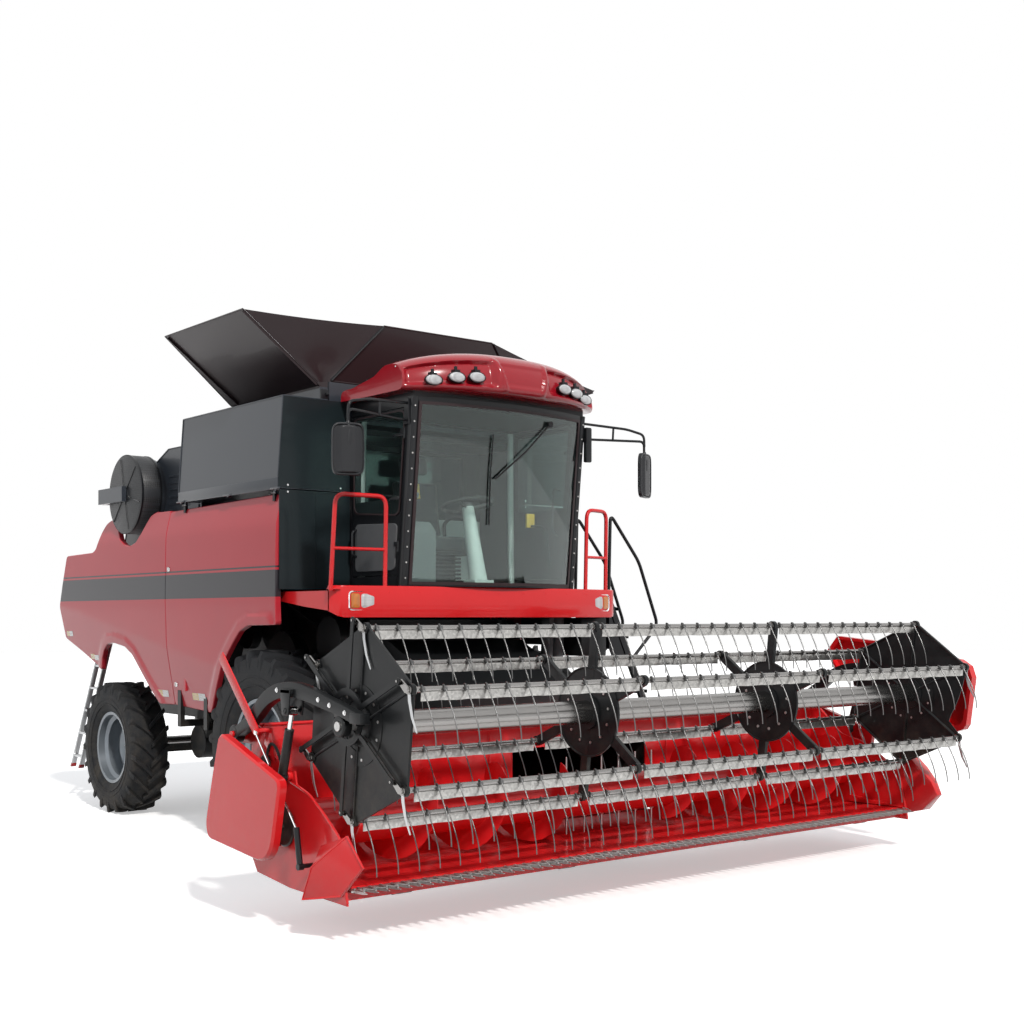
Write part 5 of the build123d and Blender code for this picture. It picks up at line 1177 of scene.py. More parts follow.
def cab_roof():
    smooth = corners_rounded(upright(ROOF_SECTION), 60, 4, closed=False)
    section = along([(p.y, p.z) for p in smooth], 150)
    columns = 170
    stock = Stock()
    rows = []
    for i in range(columns + 1):
        x = ROOF_HALF * (2 * i / columns - 1)
        out = abs(x)
        share = out / ROOF_HALF
        front = ROOF_FRONT + 290 * share ** 2.6
        top = ROOF_CREST - 125 * share ** 2.6
        row = []
        for y, z in section:
            y1 = ROOF_REAR + (y - ROOF_REAR) * (front - ROOF_REAR) / (ROOF_FRONT - ROOF_REAR)
            z1 = ROOF_LOW + (z - ROOF_FOOT) * (top - ROOF_LOW) / ROOF_RISE
            forward = step_in(y, -1700, -1480, 60) if z < 3905 else 0
            height = (z - ROOF_FOOT) / ROOF_RISE
            z1 -= 55 * share ** 6 * height * step_in(y, -1000, -700, 250)
            if y < -1420 and 0.06 < height < 0.95:
                bay = step_in(out, 300, 905, 60) * step_in(height, 0.24, 0.66, 0.12)
                y1 += 50 * bay * forward
                panel_half = 150 + 90 * height
                panel = step_in(out, -1, panel_half, 12) * step_in(height, 0.22, 0.66, 0.035)
                rib_line = step_in(out, panel_half + 14, panel_half + 40, 14) * step_in(height, 0.08, 0.80,
                    0.08)
                y1 += 13 * panel * forward - 9 * rib_line * forward
            row.append((x * (1 - 0.035 * share ** 8 * height ** 2), y1, z1))
        rows.append(row)
    stock.loft(rows)
    bmesh.ops.remove_doubles(stock.mesh, verts=stock.mesh.verts[:], dist=0.0002)
    stock.done("cab_roof_shell", "roof_red_painted_shade", solid="cab_roof", sharp=48)
    marks = Stock()
    for s in (-1, 1):
        for y, z in ((-1190, 3776), (-800, 3718)):
            marks.turned([(0, 1), (0, 17), (9, 15), (14, 8), (15, 1)], (s * 925, y, z), axis="Z", sides=16)
    marks.done("roof_markers", "lamp_chrome")
    Stock().block(-850, 850, -1300, -470, 3552, 3566).done("headlining", "trim_pale")
    Stock().block(-856, 856, -1322, -470, 3551, 3600).done("cab_top_rail", "cab_black")


def swung(centre, turn, x, y, z):
    """Offsets from a centre, swung about the upright line through it."""
    c, s = cos(turn), sin(turn)
    return centre[0] + x * c - y * s, centre[1] + x * s + y * c, centre[2] + z


def soft_box(centre, turn, half_w, half_h, depth, shift=0, power=0.30, sides=32):
    """A ring of points round an upright box with soft corners."""
    ring = []
    for turned_by in around(sides):
        c, s = cos(turned_by), sin(turned_by)
        x, z = half_w * copysign(abs(c) ** power, c), half_h * copysign(abs(s) ** power, s)
        ring.append(swung(centre, turn, shift + x, depth, z))
    return ring


def oval(stock, centre, half_w, half_h, profile, tilt):
    """An oval body facing forwards: profile lists (forward reach, share of its size)."""
    points, faces, n, sides = [], [], len(profile), 36
    for turn in around(sides):
        for forward, share in profile:
            points.append(swung(centre, tilt, half_w * share * cos(turn), -forward,
                half_h * share * sin(turn)))
    for k in range(sides):
        a, b = k * n, (k + 1) % sides * n
        faces += [[a + i, a + i + 1, b + i + 1, b + i] for i in range(n - 1)]
    ends = range(0, sides * n, n)
    stock.shell(points, faces + [list(ends)[::-1], [k + n - 1 for k in ends]])


def roof_lamps():
    shells, glasses = Stock(), Stock()
    for s in (-1, 1):
        for x, y, z in ((442, -1556, 3702), (602, -1516, 3690), (766, -1444, 3663)):
            tilt = s * 0.10 * (x / 500)
            oval(shells, (s * x, y, z), 76, 43, [(-52, 0.45), (-30, 0.85), (0, 1.0), (14, 1.0), (17, 0.94),
                (10, 0.90)], tilt)
            oval(glasses, (s * x, y, z), 68, 38, [(6, 1.0), (16, 1.0), (22, 0.85), (27, 0.6), (29, 0.3)],
                tilt)
            shells.block(s * x - 26, s * x + 26, y - 14, y + 34, z + 38, z + 58)
            shells.turned([(z + 54, 1), (z + 54, 14), (z + 84, 13), (z + 84, 1)], (s * x, y + 12, 0),
                axis="Z", sides=12)
    shells.done("roof_lamp_shells", "cab_black")
    glasses.done("roof_lamp_glasses", "lamp_lens", solid="lamps", sharp=60)


cab_roof()
roof_lamps()


# ---- cab ----
def front_at(z):
    return -1180 - 150 / 1460 * (z - 2090)


def frame_round(stock, outline, x0, x1, width, corner):
    """A flat ring across X: the outline, and the same outline drawn in by width."""
    outer = corners_rounded(upright(outline), corner, 5)
    centre = sum(outer, Vector()) / len(outer)
    span_y = max(abs(p.y - centre.y) for p in outer)
    span_z = max(abs(p.z - centre.z) for p in outer)
    inner = [Vector((0, centre.y + (p.y - centre.y) * (1 - width / span_y),
        centre.z + (p.z - centre.z) * (1 - width / span_z))) for p in outer]
    rows = []
    for ring, x in ((outer, x0), (outer, x1), (inner, x1), (inner, x0)):
        rows.append([(x, p.y, p.z) for p in ring])
    stock.grid(rows, close_rows=True, close_columns=True)


def door_dressing(s):
    where = side_name(s)
    body = "door_" + where
    pane_stock = Stock()
    pane_outline = corners_rounded([Vector((0, y, z)) for y, z in ((front_at(2650) + 96, 2655),
        (front_at(3462) + 96, 3462), (-500, 3462), (-500, 2700))], 70, 5)
    pane_stock.plate_x([(p.y, p.z) for p in pane_outline], *sided(s, 861, 866))
    pane_stock.done("door_glass_" + where, "cab_glass", body)
    seal = Stock()
    frame_round(seal, [(p.y, p.z) for p in pane_outline], s * 858, s * 871, 13, 4)
    seal.done("door_seal_" + where, "gusset_black_red_reflection", body)
    handle = Stock()
    for z in (3270, 2790):
        y = front_at(z) + 150
        handle.pipe([(s * 868, y - 50, z), (s * 880, y - 20, z), (s * 880, y + 60, z), (s * 868, y + 78, z)],
            17, sides=10, bend=12, flat=0.4)
    y = -540
    handle.pipe([(s * 862, y, 2360), (s * 905, y, 2375), (s * 905, y, 2560), (s * 862, y, 2575)], 11,
        sides=10, bend=26)
    handle.block(*sided(s, 860, 868), y - 26, y + 26, 2335, 2600)
    handle.done("door_handle_" + where, "cab_black", body, bevel=2)
    lower = Stock().pressed([(front_at(2600) + 120, 2600), (-520, 2620), (-520, 2240),
        (front_at(2240) + 120, 2240)], s * 860, s * 869, corner=50, edge=6)
    lower.done("door_panel_" + where, "trim_grey", body)


def cab_dressing():
    # front corner posts with their rows of screws, and the dark border of the windscreen
    posts = Stock()
    for s in (-1, 1):
        rows = []
        for z in (2092, 2400, 2800, 3200, 3548):
            y = front_at(z)
            rows.append([(s * 828, y - 6, z), (s * 868, y - 8, z), (s * 876, y + 6, z), (s * 876, y + 66, z),
                (s * 828, y + 66, z)])
        posts.loft(rows)
    posts.done("cab_corner_posts", "cab_black", bevel=5)
    seats = [(s * 850, front_at(z) - 8, z) for s in (-1, 1) for z in range(2180, 3500, 118)]
    bolts("cab_post_screws", seats, "Y", radius=5, height=6, finish="knife_steel")
    rim = Stock()
    half, bulge = 815, 130
    radius = (half * half + bulge * bulge) / (2 * bulge)

    def on_screen(x, z, proud):
        return (x, front_at(z) - bulge + radius - sqrt((radius + proud) ** 2 - x * x), z)

    edge = [(-half, 2131), (half, 2131), (half, 3514), (-half, 3514)]
    border = []
    for (xa, za), (xb, zb) in zip(edge, edge[1:] + edge[:1]):
        border += [(xa + (xb - xa) * k / 16, za + (zb - za) * k / 16) for k in range(16)]
    inner = [(x * (1 - 22 / half), 2822 + (z - 2822) * (1 - 22 / 691)) for x, z in border]
    rim.grid([[on_screen(x, z, proud) for x, z in ring] for ring, proud in ((border, 0.5), (border, 9),
        (inner, 9), (inner, 0.5))], close_rows=True, close_columns=True)
    rim.done("windscreen_seal", "gusset_black_red_reflection")
    sill = Stock()
    for z0, z1 in ((2119, 2131), (3514, 3549)):
        rows = []
        for z in (z0, z1):
            rows.append([on_screen(-820 + 1640 * k / 24, z, 3) for k in range(25)] + [(820 - 1640 * k / 24,
                front_at(z) + 30, z) for k in range(25)])
        sill.loft(rows)
    sill.done("windscreen_sills", "cab_black", sharp=40)
    # wiper: motor cap under the roof, arm, and blade
    wiper = Stock()
    pivot = on_screen(395, 3430, 20)
    tip = on_screen(-150, 2960, 22)
    wiper.turned([(-14, 1), (-14, 24), (14, 24), (18, 1)], pivot, axis="Y", sides=20)
    wiper.pipe([pivot, on_screen(130, 3190, 36), tip], 8, sides=8, bend=60)
    wiper.pipe([on_screen(-190, 3300, 16), on_screen(-195, 3000, 16), on_screen(-180, 2600, 16)], 7, sides=6,
        bend=40)
    wiper.done("wiper", "frame_black")
    Stock().block(870, 934, -1352, -1308, 3170, 3460).done("cab_side_box", "cab_black", bevel=12)


def cab_inside():
    trim = Stock()
    # inner posts and the rear wall round the back window
    for s in (-1, 1):
        trim.pipe([(s * 780, -470, 2150), (s * 770, -470, 2900), (s * 760, -480, 3480)], 46, sides=12,
            flat=0.6)
    trim.plate_y([(-800, 2150), (800, 2150), (800, 2742), (-800, 2742)], 6, 18)
    trim.done("cab_inner_trim", "trim_pale")
    console = Stock().plate_x([(-980, 2150), (-980, 2560), (-900, 2640), (-420, 2660), (-300, 2600),
        (-300, 2150)], -640, -400)
    console.pipe([(-520, -760, 2640), (-510, -800, 2760), (-500, -830, 2830)], 13, sides=10)
    console.pipe([(-500, -830, 2830), (-497, -840, 2880)], 26, sides=12)
    console.done("side_console", "trim_grey", bevel=14)
    Stock().pipe([(-250, -520, 2860), (-262, -520, 2980)], 20, sides=12).done("amber_tube", "band_yellow")
    Stock().block(640, 720, -860, -830, 2640, 2760).done("yellow_case", "band_yellow", bevel=5)
    rails = Stock().pipe([(690, -1090, 2320), (670, -1060, 2640), (690, -760, 2660)], 11, sides=8, bend=80)
    rails.pipe([(790, -1110, 2950), (740, -1080, 2960), (735, -1060, 2600), (790, -1090, 2560)], 12, sides=8,
        bend=40)
    rails.done("grab_rails", "cab_black")
    steering = Stock()
    foot, top = Vector((0, -1010, 2160)), Vector((0, -860, 2800))
    axis = (top - foot).normalized()
    steering.pipe([foot, foot.lerp(top, 0.55), foot.lerp(top, 0.97)], lambda t: 74 - 26 * t, sides=18)
    steering.block(-95, 95, -1090, -930, 2141, 2182)
    steering.done("column_cover", "trim_pale", bevel=6)
    wheel = Stock()
    side = Vector((1, 0, 0))
    up = axis.cross(side).normalized()
    rows = []
    for turn in around(40):
        p = top + side * (205 * cos(turn)) + up * (205 * sin(turn))
        out = (p - top).normalized()
        rows.append([p + out * (15 * cos(a)) + axis * (15 * sin(a)) for a in around(10)])
    wheel.grid(rows, close_rows=True, close_columns=True)
    for turn in (90, 210, 330):
        c, i = polar(turn)
        out = side * c + up * i
        wheel.pipe([top - axis * 26 + out * 20, top - axis * 18 + out * 110, top + out * 200], 13, sides=8,
            flat=0.5)
    wheel.pipe([top - axis * 50, top + axis * 8], 46, sides=20)
    wheel.pipe([top + side * 110 + up * 120, top + side * 118 + up * 128 + axis * 60], 19, sides=12)
    wheel.done("steering_wheel", "trim_black", solid="steering_column", sharp=45)


SWELL = 0.018   # metres that the cushions may grow
CLOTH = dict(quality=6, mass=0.3, tension_stiffness=25, compression_stiffness=25, shear_stiffness=10,
    bending_stiffness=2, use_pressure=True, uniform_pressure_force=4)


def cushion(name, outline_box, lean=0.0, pivot=None):
    """A padded piece: a soft block swollen by a short cloth simulation."""
    (x0, x1), (y0, y1), (z0, z1) = outline_box
    stock = Stock().block(x0, x1, y0, y1, z0, z1)
    piece = stock.piece(name)
    edge = piece.modifiers.new("edge", "BEVEL")
    edge.width, edge.segments = 0.028, 3
    cells = piece.modifiers.new("cells", "REMESH")
    cells.mode, cells.voxel_size = "VOXEL", 0.014
    plain(piece)
    before = [v.co.copy() for v in piece.data.vertices]
    swell = piece.modifiers.new("swell", "CLOTH")
    for key, value in CLOTH.items():
        setattr(swell.settings, key, value)
    swell.settings.effector_weights.gravity = 0
    scene = bpy.context.scene
    for f in range(1, 15):
        scene.frame_set(f)
    plain(piece)
    for vert, old in zip(piece.data.vertices, before):
        move = vert.co - old
        if move.length > SWELL:
            vert.co = old + move.normalized() * SWELL
    scene.frame_set(1)
    if lean:
        centre = place(*pivot)
        turn = Matrix.Translation(centre) @ Matrix.Rotation(lean, 4, "X") @ Matrix.Translation(-centre)
        piece.data.transform(turn)
    finished(piece, "seat_cloth", "machine", sharp=0)
    piece.data.polygons.foreach_set("use_smooth", [True] * len(piece.data.polygons))


def seat():
    base = Stock().block(-200, 200, -550, -150, 2141, 2190)
    for z in range(2200, 2400, 33):
        base.block(-185, 185, -535, -165, z, z + 20)
    base.block(-150, 150, -500, -200, 2190, 2400)
    base.block(-225, 225, -590, -130, 2398, 2430)
    for s in (-1, 1):
        base.pipe([(s * 262, -190, 2560), (s * 270, -170, 2690), (s * 270, -250, 2735),
            (s * 268, -500, 2725)], 17, sides=10, bend=40)
    base.plate_x([(-175, 2440), (-135, 2440), (-55, 2990), (-95, 2990)], -200, 200)
    base.done("seat_frame", "trim_black", solid="operator_seat", bevel=6)
    cushion("seat_cushion", ((-240, 240), (-630, -150), (2440, 2540)))
    cushion("seat_back", ((-225, 225), (-225, -135), (2550, 3060)), lean=-0.15, pivot=(0, -180, 2550))
    cushion("seat_headrest", ((-135, 135), (-130, -60), (3110, 3260)), lean=-0.12, pivot=(0, -90, 3110))


def mirror(s):
    where = side_name(s)
    arms = Stock().pipe([(s * 880, -1262, 3370), (s * 1490, -1400, 3384), (s * 1492, -1402, 3150)], 11,
        sides=10, bend=46)
    arms.pipe([(s * 880, -1272, 3500), (s * 1300, -1385, 3474), (s * 1488, -1402, 3440),
        (s * 1492, -1402, 3340)], 11, sides=10, bend=46)
    arms.pipe([(s * 1180, -1340, 3374), (s * 1180, -1348, 3484)], 9, sides=8)
    arms.block(*sided(s, 866, 894), -1300, -1245, 3340, 3530)
    arms.done("mirror_arms_" + where, "cab_black", solid="mirrors" if s > 0 else None, sharp=40)
    shell = Stock()
    cx, cy, cz = middle = (s * 1492, -1400, 3092)
    turn, half_w, half_h, power, sides = s * 0.42, 118, 190, 0.34, 48
    steps = ((14, 0.96), (10, 1.0), (-16, 1.0), (-22, 0.975), (-22, 0.93), (-12, 0.90), (-15, 0.66),
        (-27, 0.56), (-30, 0.4))
    rings = []
    for depth, share in steps:
        height = half_h * (share * 0.25 + 0.75 if share < 0.9 else share)
        rings.append(soft_box(middle, turn, half_w * share, height, depth, 0, power, sides))
    shell.loft(rings)
    shell.pipe([(cx, cy - 22, cz + 40), (cx, cy - 24, cz + 120), (cx, cy - 2, cz + 200)], 14, sides=10)
    shell.done("mirror_shell_" + where, "mirror_shell", sharp=50)
    glass = Stock().loft([soft_box(middle, turn, half_w * 0.9, half_h * 0.93, depth, 0, power, sides)
        for depth in (12, 17)])
    glass.done("mirror_face_" + where, "mirror_face")


def headlamp(s):
    where = side_name(s)
    middle, swing = (s * 1196, -1150, 2004), s * 0.15
    bowl = Stock().loft([soft_box(middle, swing, *ring) for ring in ((128, 76, 40), (128, 76, -14),
        (121, 69, -20), (113, 61, -14), (110, 58, 10), (60, 34, 34))])
    bowl.done("headlamp_bowl_" + where, "lamp_chrome", sharp=50)
    for name, low, high, finish in (("clear", -108, 30, "lamp_lens"), ("amber", 36, 108, "amber_lens")):
        part = Stock()
        mid, half = s * (low + high) / 2, (high - low) / 2
        part.loft([soft_box(middle, swing, half * share, half_h, depth, mid)
            for share, half_h, depth in ((1, 56, 4), (1, 56, -14), (0.94, 52, -21), (0.5, 28, -24))])
        part.done(f"headlamp_{name}_{where}", finish, sharp=50)


cab_dressing()
cab_inside()
seat()
for s in (-1, 1):
    door_dressing(s)
    mirror(s)
    headlamp(s)


# ---- grain tank, hood and dust drum ----
def tank_dressing():
    wall = Stock()
    for s in (-1, 1):
        wall.block(*sided(s, 872, 1512), -448, -443, 2098, 2872)
        wall.block(*sided(s, 1180, 1186), -452, -448, 2110, 2860)
        wall.plate_y([(s * 875, 2886), (s * 1524, 2886), (s * 1525, 2966), (s * 1479, 3598),
            (s * 875, 3598)], -453, -450.3)
    wall.done("tank_front_wall", "tank_black")
    skirt = Stock()
    for s in (-1, 1):
        skirt.plate_x([(-452, 2872), (1272, 2872), (1272, 2962), (-452, 2962)], *sided(s, 1522, 1531.5))
        for y in (-430, 360, 1215):
            skirt.pipe([(s * 1526, y - 60, 2880), (s * 1536, y - 50, 2878), (s * 1536, y + 70, 2878)], 9,
                sides=8, bend=10)
            skirt.block(*sided(s, 1500, 1534), y - 14, y + 14, 2862, 2884)
    skirt.done("tank_skirt", "tank_slate", bevel=2)
    seams = Stock()
    for s in (-1, 1):
        # folded corner strips and the turned top edge
        for y in (-452, 1272):
            seams.pipe([(s * 1527, y, 2966), (s * 1482, y, 3600)], 5, sides=6)
        seams.pipe([(s * 1481, -450, 3600), (s * 1481, 1270, 3600)], 6, sides=6)
    for x in (-1480, 1080):
        seams.pipe([(x, -451, 3601), (x + 400, -451, 3601)], 6, sides=6)
    seams.done("tank_seams", "tank_slate")
    seats = [(s * x, -452, z) for s in (-1, 1) for x in (960, 1440) for z in (2855, 2908)]
    bolts("tank_front_screws", seats, "Y", radius=6, height=12, finish="chrome_rod")
    rim = Stock()
    for s in (-1, 1):
        rim.pipe([(s * 1088, -340, 3716), (s * 1088, 1160, 3716)], 7, sides=6)
    rim.done("hatch_rim_beads", "hatch_dark_red_reflection")
    catch = Stock().block(-1090, -1020, -372, -350, 3606, 3700)
    catch.sleeve(-12, 12, 1, 12, (-1040, -378, 3660), axis="X", sides=12)
    catch.done("hatch_catch", "cab_black", bevel=2)


HINGE_X, HINGE_Z = 1070, 3730   # of the two side flaps
END_FLAPS = (("front", -1, -350), ("rear", 1, 1170))


def flap_point(s, slope, reach, y, lift=0):
    c, i = cos(radians(slope)), sin(radians(slope))
    return Vector((s * (HINGE_X + reach * c - lift * i), y, HINGE_Z + reach * i + lift * c))


def flap_dressing():
    for where, s, slope in (("right", -1, 37), ("left", 1, 18)):
        trim = Stock()
        edge = [flap_point(s, slope, 20, -326, -1), flap_point(s, slope, 862, -326, -1),
            flap_point(s, slope, 866, 1034, -1), flap_point(s, slope, 20, 1144, -1)]
        for a, b in zip(edge, edge[1:]):
            trim.pipe([a, b], 6.5, sides=8)
        trim.done("flap_edges_" + where, "hatch_dark_red_reflection", "flap_" + where)
        # folding corner sheets between this flap and the end flaps
        for end, sign, hinge in END_FLAPS:
            near_y = -328 if sign < 0 else 1148
            tip_y = -328 if sign < 0 else 1040
            end_low, end_high = Vector((s * 980, hinge, 3775)), Vector((s * 562, hinge + sign * 126, 4252))
            rows = []
            for i in range(15):
                t = i / 14
                a = flap_point(s, slope, 40 + 815 * t, near_y + (tip_y - near_y) * t, 6)
                b = end_low.lerp(end_high, t) + Vector((s * 6, sign * 4, 0))
                row = []
                for u in (k / 16 for k in range(17)):
                    belly = 4 * u * (1 - u)
                    row.append(a.lerp(b, u) + Vector((0, -sign * 30 * belly * (1 - t), -12 * t * belly)))
                rows.append(row)
            folding = Stock().grid(rows).done(f"gusset_{end}_{where}", "hatch_dark_red_reflection", "flap_" + where,
                sharp=60, gauge=3)
            seam = Stock().pipe([end_low + Vector((s * 6, sign * 5, 4)),
                end_high + Vector((s * 6, sign * 5, -8))], 9, sides=8, flat=1.6)
            seam.done(f"flap_seam_{end}_{where}", "cab_black", "flap_" + end)
            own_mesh(folding)
    for end, sign, hinge in END_FLAPS:
        trim = Stock()
        low = [Vector((x, hinge + sign * 3, 3790)) for x in (-968, 968)]
        high = [Vector((x, hinge + sign * 129, 4250)) for x in (-560, 560)]
        trim.pipe([low[0], high[0], high[1], low[1]], 6, sides=8)
        trim.done("flap_edges_" + end, "hatch_dark_red_reflection", "flap_" + end)


def hood_dressing():
    for where, x, far in (("right", -1310, 1930), ("left", 1301, 2100)):
        louvres = Stock()
        for k in range(9):
            z = 2660 + 62 * k
            louvres.plate_x([(1330, z), (far, z), (far, z + 20), (1330, z + 34)], x, x + 9)
        louvres.done("hood_louvres_" + where, "tank_slate", bevel=1.5)
    edge = Stock()
    route = [(1284, 2562), (1284, 3421), (1950, 3421), (2250, 3301), (2780, 2981), (2929, 2562)]
    for s in (-1, 1):
        edge.pipe([(s * 1301, y, z) for y, z in route], 6, sides=6)
    edge.done("hood_edges", "tank_slate")
    pipe = Stock().turned([(3290, 40), (3290, 62), (3600, 62), (3604, 54), (3604, 40)], (760, 1800, 0),
        axis="Z", sides=28)
    pipe.turned([(3300, 62), (3300, 92), (3312, 96), (3540, 96), (3552, 90), (3552, 62)], (760, 1800, 0),
        axis="Z", sides=28)
    pipe.done("exhaust", "frame_black", sharp=40)


def drum():
    """The screen that turns on the hood's stub: fine mesh face, plain rim, and its centre bolt."""
    y, z, r, face, back = 2350, 3020, 365, -1550, -1342
    screen = Stock().turned([(face, 4), (face, r - 14), (face + 6, r - 5), (face + 14, r), (back, r),
        (back, r - 9), (face + 20, r - 9), (face + 10, r - 20), (face + 9, 4)], (0, y, z), sides=96)
    screen.done("drum_shell", "drum_screen", "dust_screen", solid="dust_screen", sharp=35)
    rims = Stock()
    for x, out in ((face + 16, 4), (back - 14, 4)):
        rims.sleeve(x - 9, x + 9, r - 2, r + out - 1, (0, y, z), sides=96)
    for a in range(15, 360, 60):
        rims.pipe([(face - 0.5, *polar(a, r0, (y, z))) for r0 in (50, 340)], 6, sides=6)
    rims.turned([(face - 2, 25), (face - 6, 70), (face + 4, 78), (face + 4, 25)], (0, y, z), sides=32)
    rims.sleeve(back, face + 49, 21, 40, (0, y, z), sides=28)
    for a in range(0, 360, 90):
        rims.pipe([(back - 7, *polar(a, r0, (y, z))) for r0 in (30, r - 8)], 8, sides=8)
    rims.done("drum_rims", "cab_black", "dust_screen", sharp=40)


tank_dressing()
flap_dressing()
hood_dressing()
drum()


# ---- platform, steps and ladders ----
def platform_front(x):
    return -1280 + 165 * (abs(x) / 1440) ** 2.2


def platform():
    apron = Stock()
    xs = [-1440 + 2880 * k / 72 for k in range(73)]

    def low_edge(x):
        near = max(0, abs(x) - 1360) / 80
        return 1880 + 46 * near ** 2

    rows = []
    for x in xs:
        round_in = 60 * (max(0, abs(x) - 1370) / 70) ** 2
        y, low = platform_front(x) + round_in, low_edge(x)
        rows.append([(x, y + 13, low + 2), (x, y + 2, low), (x, y - 1, low + 8), (x, y, 2104),
            (x, y + 4, 2115), (x, y + 12, 2118), (x, y + 14, 2110), (x, y + 34, 2090), (x, y + 13, 2076)])
    apron.loft(rows)
    for s in (-1, 1):
        y0 = platform_front(1440) + 60
        apron.plate_x([(y0, 1930), (y0, 2090), (-330, 2090), (-330, 2008), (-700, 1962)],
            *sided(s, 1428, 1440))
        apron.plate_z([(s * 1440, -330), (s * 1440, y0), (s * 1390, y0 - 40), (s * 1380, -330)], 2079, 2090)
    apron.done("platform_apron", "red_enamel", solid="platform", sharp=35)
    deck = Stock().plate_z([(x, platform_front(x) + 30) for x in xs[2:-2]] + [(1396, -336), (-1396, -336)],
        2066, 2087)
    deck.done("platform_deck", "frame_black")
    # raised lozenges in rows on both walkways
    treads = Stock()
    for s in (-1, 1):
        for row in range(8):
            for column in range(13):
                x, y = s * (930 + column * 38) - 20, -1040 + row * 84
                across, ahead = (7, 19) if (row + column) % 2 else (19, 7)
                treads.plate_z([(x - across, y), (x, y - ahead), (x + across, y), (x, y + ahead)], 2087,
                    2090.5)
    treads.done("walkway_treads", "knife_steel")
    bars = Stock()
    for s in (-1, 1):
        bars.block(*sided(s, 560, 640), -1100, -340, 1890, 2066)
        bars.block(*sided(s, 710, 770), -420, -370, 1000, 2066)
        bars.block(*sided(s, 520, 770), -420, -370, 1000, 1045)
        bars.block(*sided(s, 560, 640), -345, 60, 1860, 2088)
    for low in (1890, 1930):
        bars.block(1425, 1462, -974, -922, low, low + 28)
        bars.sleeve(low, low + 28, 16.1, 26, (1462, -948, 0), axis="Z", sides=24)
    bars.done("platform_bearers", "frame_black", bevel=3)
    rails = Stock()
    near, middle_post, far = (-1112, -1180, -1148), (-1172, -1190, -1180), (-1120, -1130, -1126)
    for x0, (foot0, top0, mid0), x1, (foot1, top1, mid1) in ((-1460, near, -1020, middle_post),
                                                             (1020, middle_post, 1300, far)):
        hoop = [(x0, foot0, 2080), (x0, top0, 2790), (x1, top1, 2790), (x1, foot1, 2080)]
        rails.pipe(hoop, 17, sides=14, bend=80).pipe([(x0, mid0, 2390), (x1, mid1, 2390)], 13, sides=12)
    for x, y in ((-1020, -1172), (1020, -1172), (1300, -1120), (-1420, -1112)):
        rails.block(x - 34, x + 34, y - 20, y + 40, 2088, 2097)
    rails.done("handrails", "red_enamel", sharp=40)
    seats = [(x, platform_front(x) + 2, z) for x in range(-1000, 1001, 250) for z in (1898, 2072)]
    bolts("apron_bolts", seats, "Y", radius=6, height=10, finish="red_enamel")


def left_steps():
    steps = Stock()
    top, foot = (1490, 2040), (2190, 560)
    for y in (-960, -520):
        for near, far, thick in ((-30, 40, 6), (-30, -24, 25), (34, 40, 25)):
            slant = [(top[0] + near, top[1]), (top[0] + far, top[1]), (foot[0] + far, foot[1]),
                (foot[0] + near, foot[1])]
            steps.plate_y(slant, y, y + thick)
    for number in range(6):
        share = (number + 0.35) / 6
        x, z = top[0] + (foot[0] - top[0]) * share, top[1] + (foot[1] - top[1]) * share
        for near, far, low, high in ((-35, 90, 9, 15), (-35, -29, -15, 9), (84, 90, -15, 9)):
            steps.block(x + near, x + far, -955, -500, z + low, z + high)
        for k in range(9):
            y = -925 + 48 * k
            steps.pipe([(x - 20, y, z + 16), (x + 76, y, z + 16)], 4, sides=6)
    for y in (-948, -508):
        steps.pipe([(1500, y, 2060), (1520, y, 2790), (1870, y, 2380), (2110, y, 1810), (1780, y, 1500)], 15,
            sides=12, bend=70)
    steps.pipe([(1462, -948, 1884), (1462, -948, 2055)], 15.8, sides=20)
    steps.block(1462, 1510, -960, -935, 1977, 2055)
    # closed sides and backs of the upper steps
    for y in (-954, -514):
        steps.plate_y([(1500, 2020), (1530, 2020), (1790, 1480), (1560, 1480), (1500, 1600)], y, y + 4)
    steps.plate_z([(1508, -950), (1512, -950), (1512, -512), (1508, -512)], 1600, 2010)
    steps.done("left_steps", "cab_black", "ladder", solid="access_ladder", sharp=40)


def rear_steps():
    rails = Stock()
    near, far, thick = 3940, 4150, 26
    for y in (near, far):
        rails.plate_y([(-1010, 1720), (-960, 1720), (-1296, 352), (-1346, 352)], y, y + thick)
    for number in range(6):
        share = (number + 0.5) / 6
        x, z = -985 - 340 * share, 1720 - 1390 * share
        rails.plate_y([(x - 24, z - 12), (x + 24, z - 12), (x + 24, z + 12), (x - 24, z + 12)], near + 5,
            near + 210)
    rails.block(-1030, -940, 3932, 4174, 1697, 1758)
    rails.done("rear_ladder_rails", "ladder_aluminium", solid="rear_ladder", bevel=4)
    feet = Stock()
    for y in (near, far):
        feet.plate_y([(-1290, 366), (-1344, 366), (-1354, 330), (-1298, 330)], y - 2, y + thick)
    feet.done("rear_ladder_feet", "tail_lens", bevel=3)


platform()
left_steps()
rear_steps()


# ---- drives and details under the covers ----
BELT_THICK = 14


def belt(stock, x0, x1, wheels):
    """A belt round two pulleys, given as (y, z, radius)."""
    (ya, za, ra), (yb, zb, rb) = wheels
    span, lean = hypot(yb - ya, zb - za), atan2(zb - za, yb - ya)
    open_by = acos((ra - rb) / span)
    rows = []
    for y, z, r, start, end in ((ya, za, ra, lean + open_by, lean + 2 * pi - open_by),
            (yb, zb, rb, lean - open_by, lean + open_by)):
        for k in range(19):
            a = start + (end - start) * k / 18
            rows.append([(x, y + (r + d) * cos(a), z + (r + d) * sin(a))
                for x, d in ((x0, 0), (x1, 0), (x1, BELT_THICK), (x0, BELT_THICK))])
    stock.grid(rows, close_rows=True, close_columns=True)


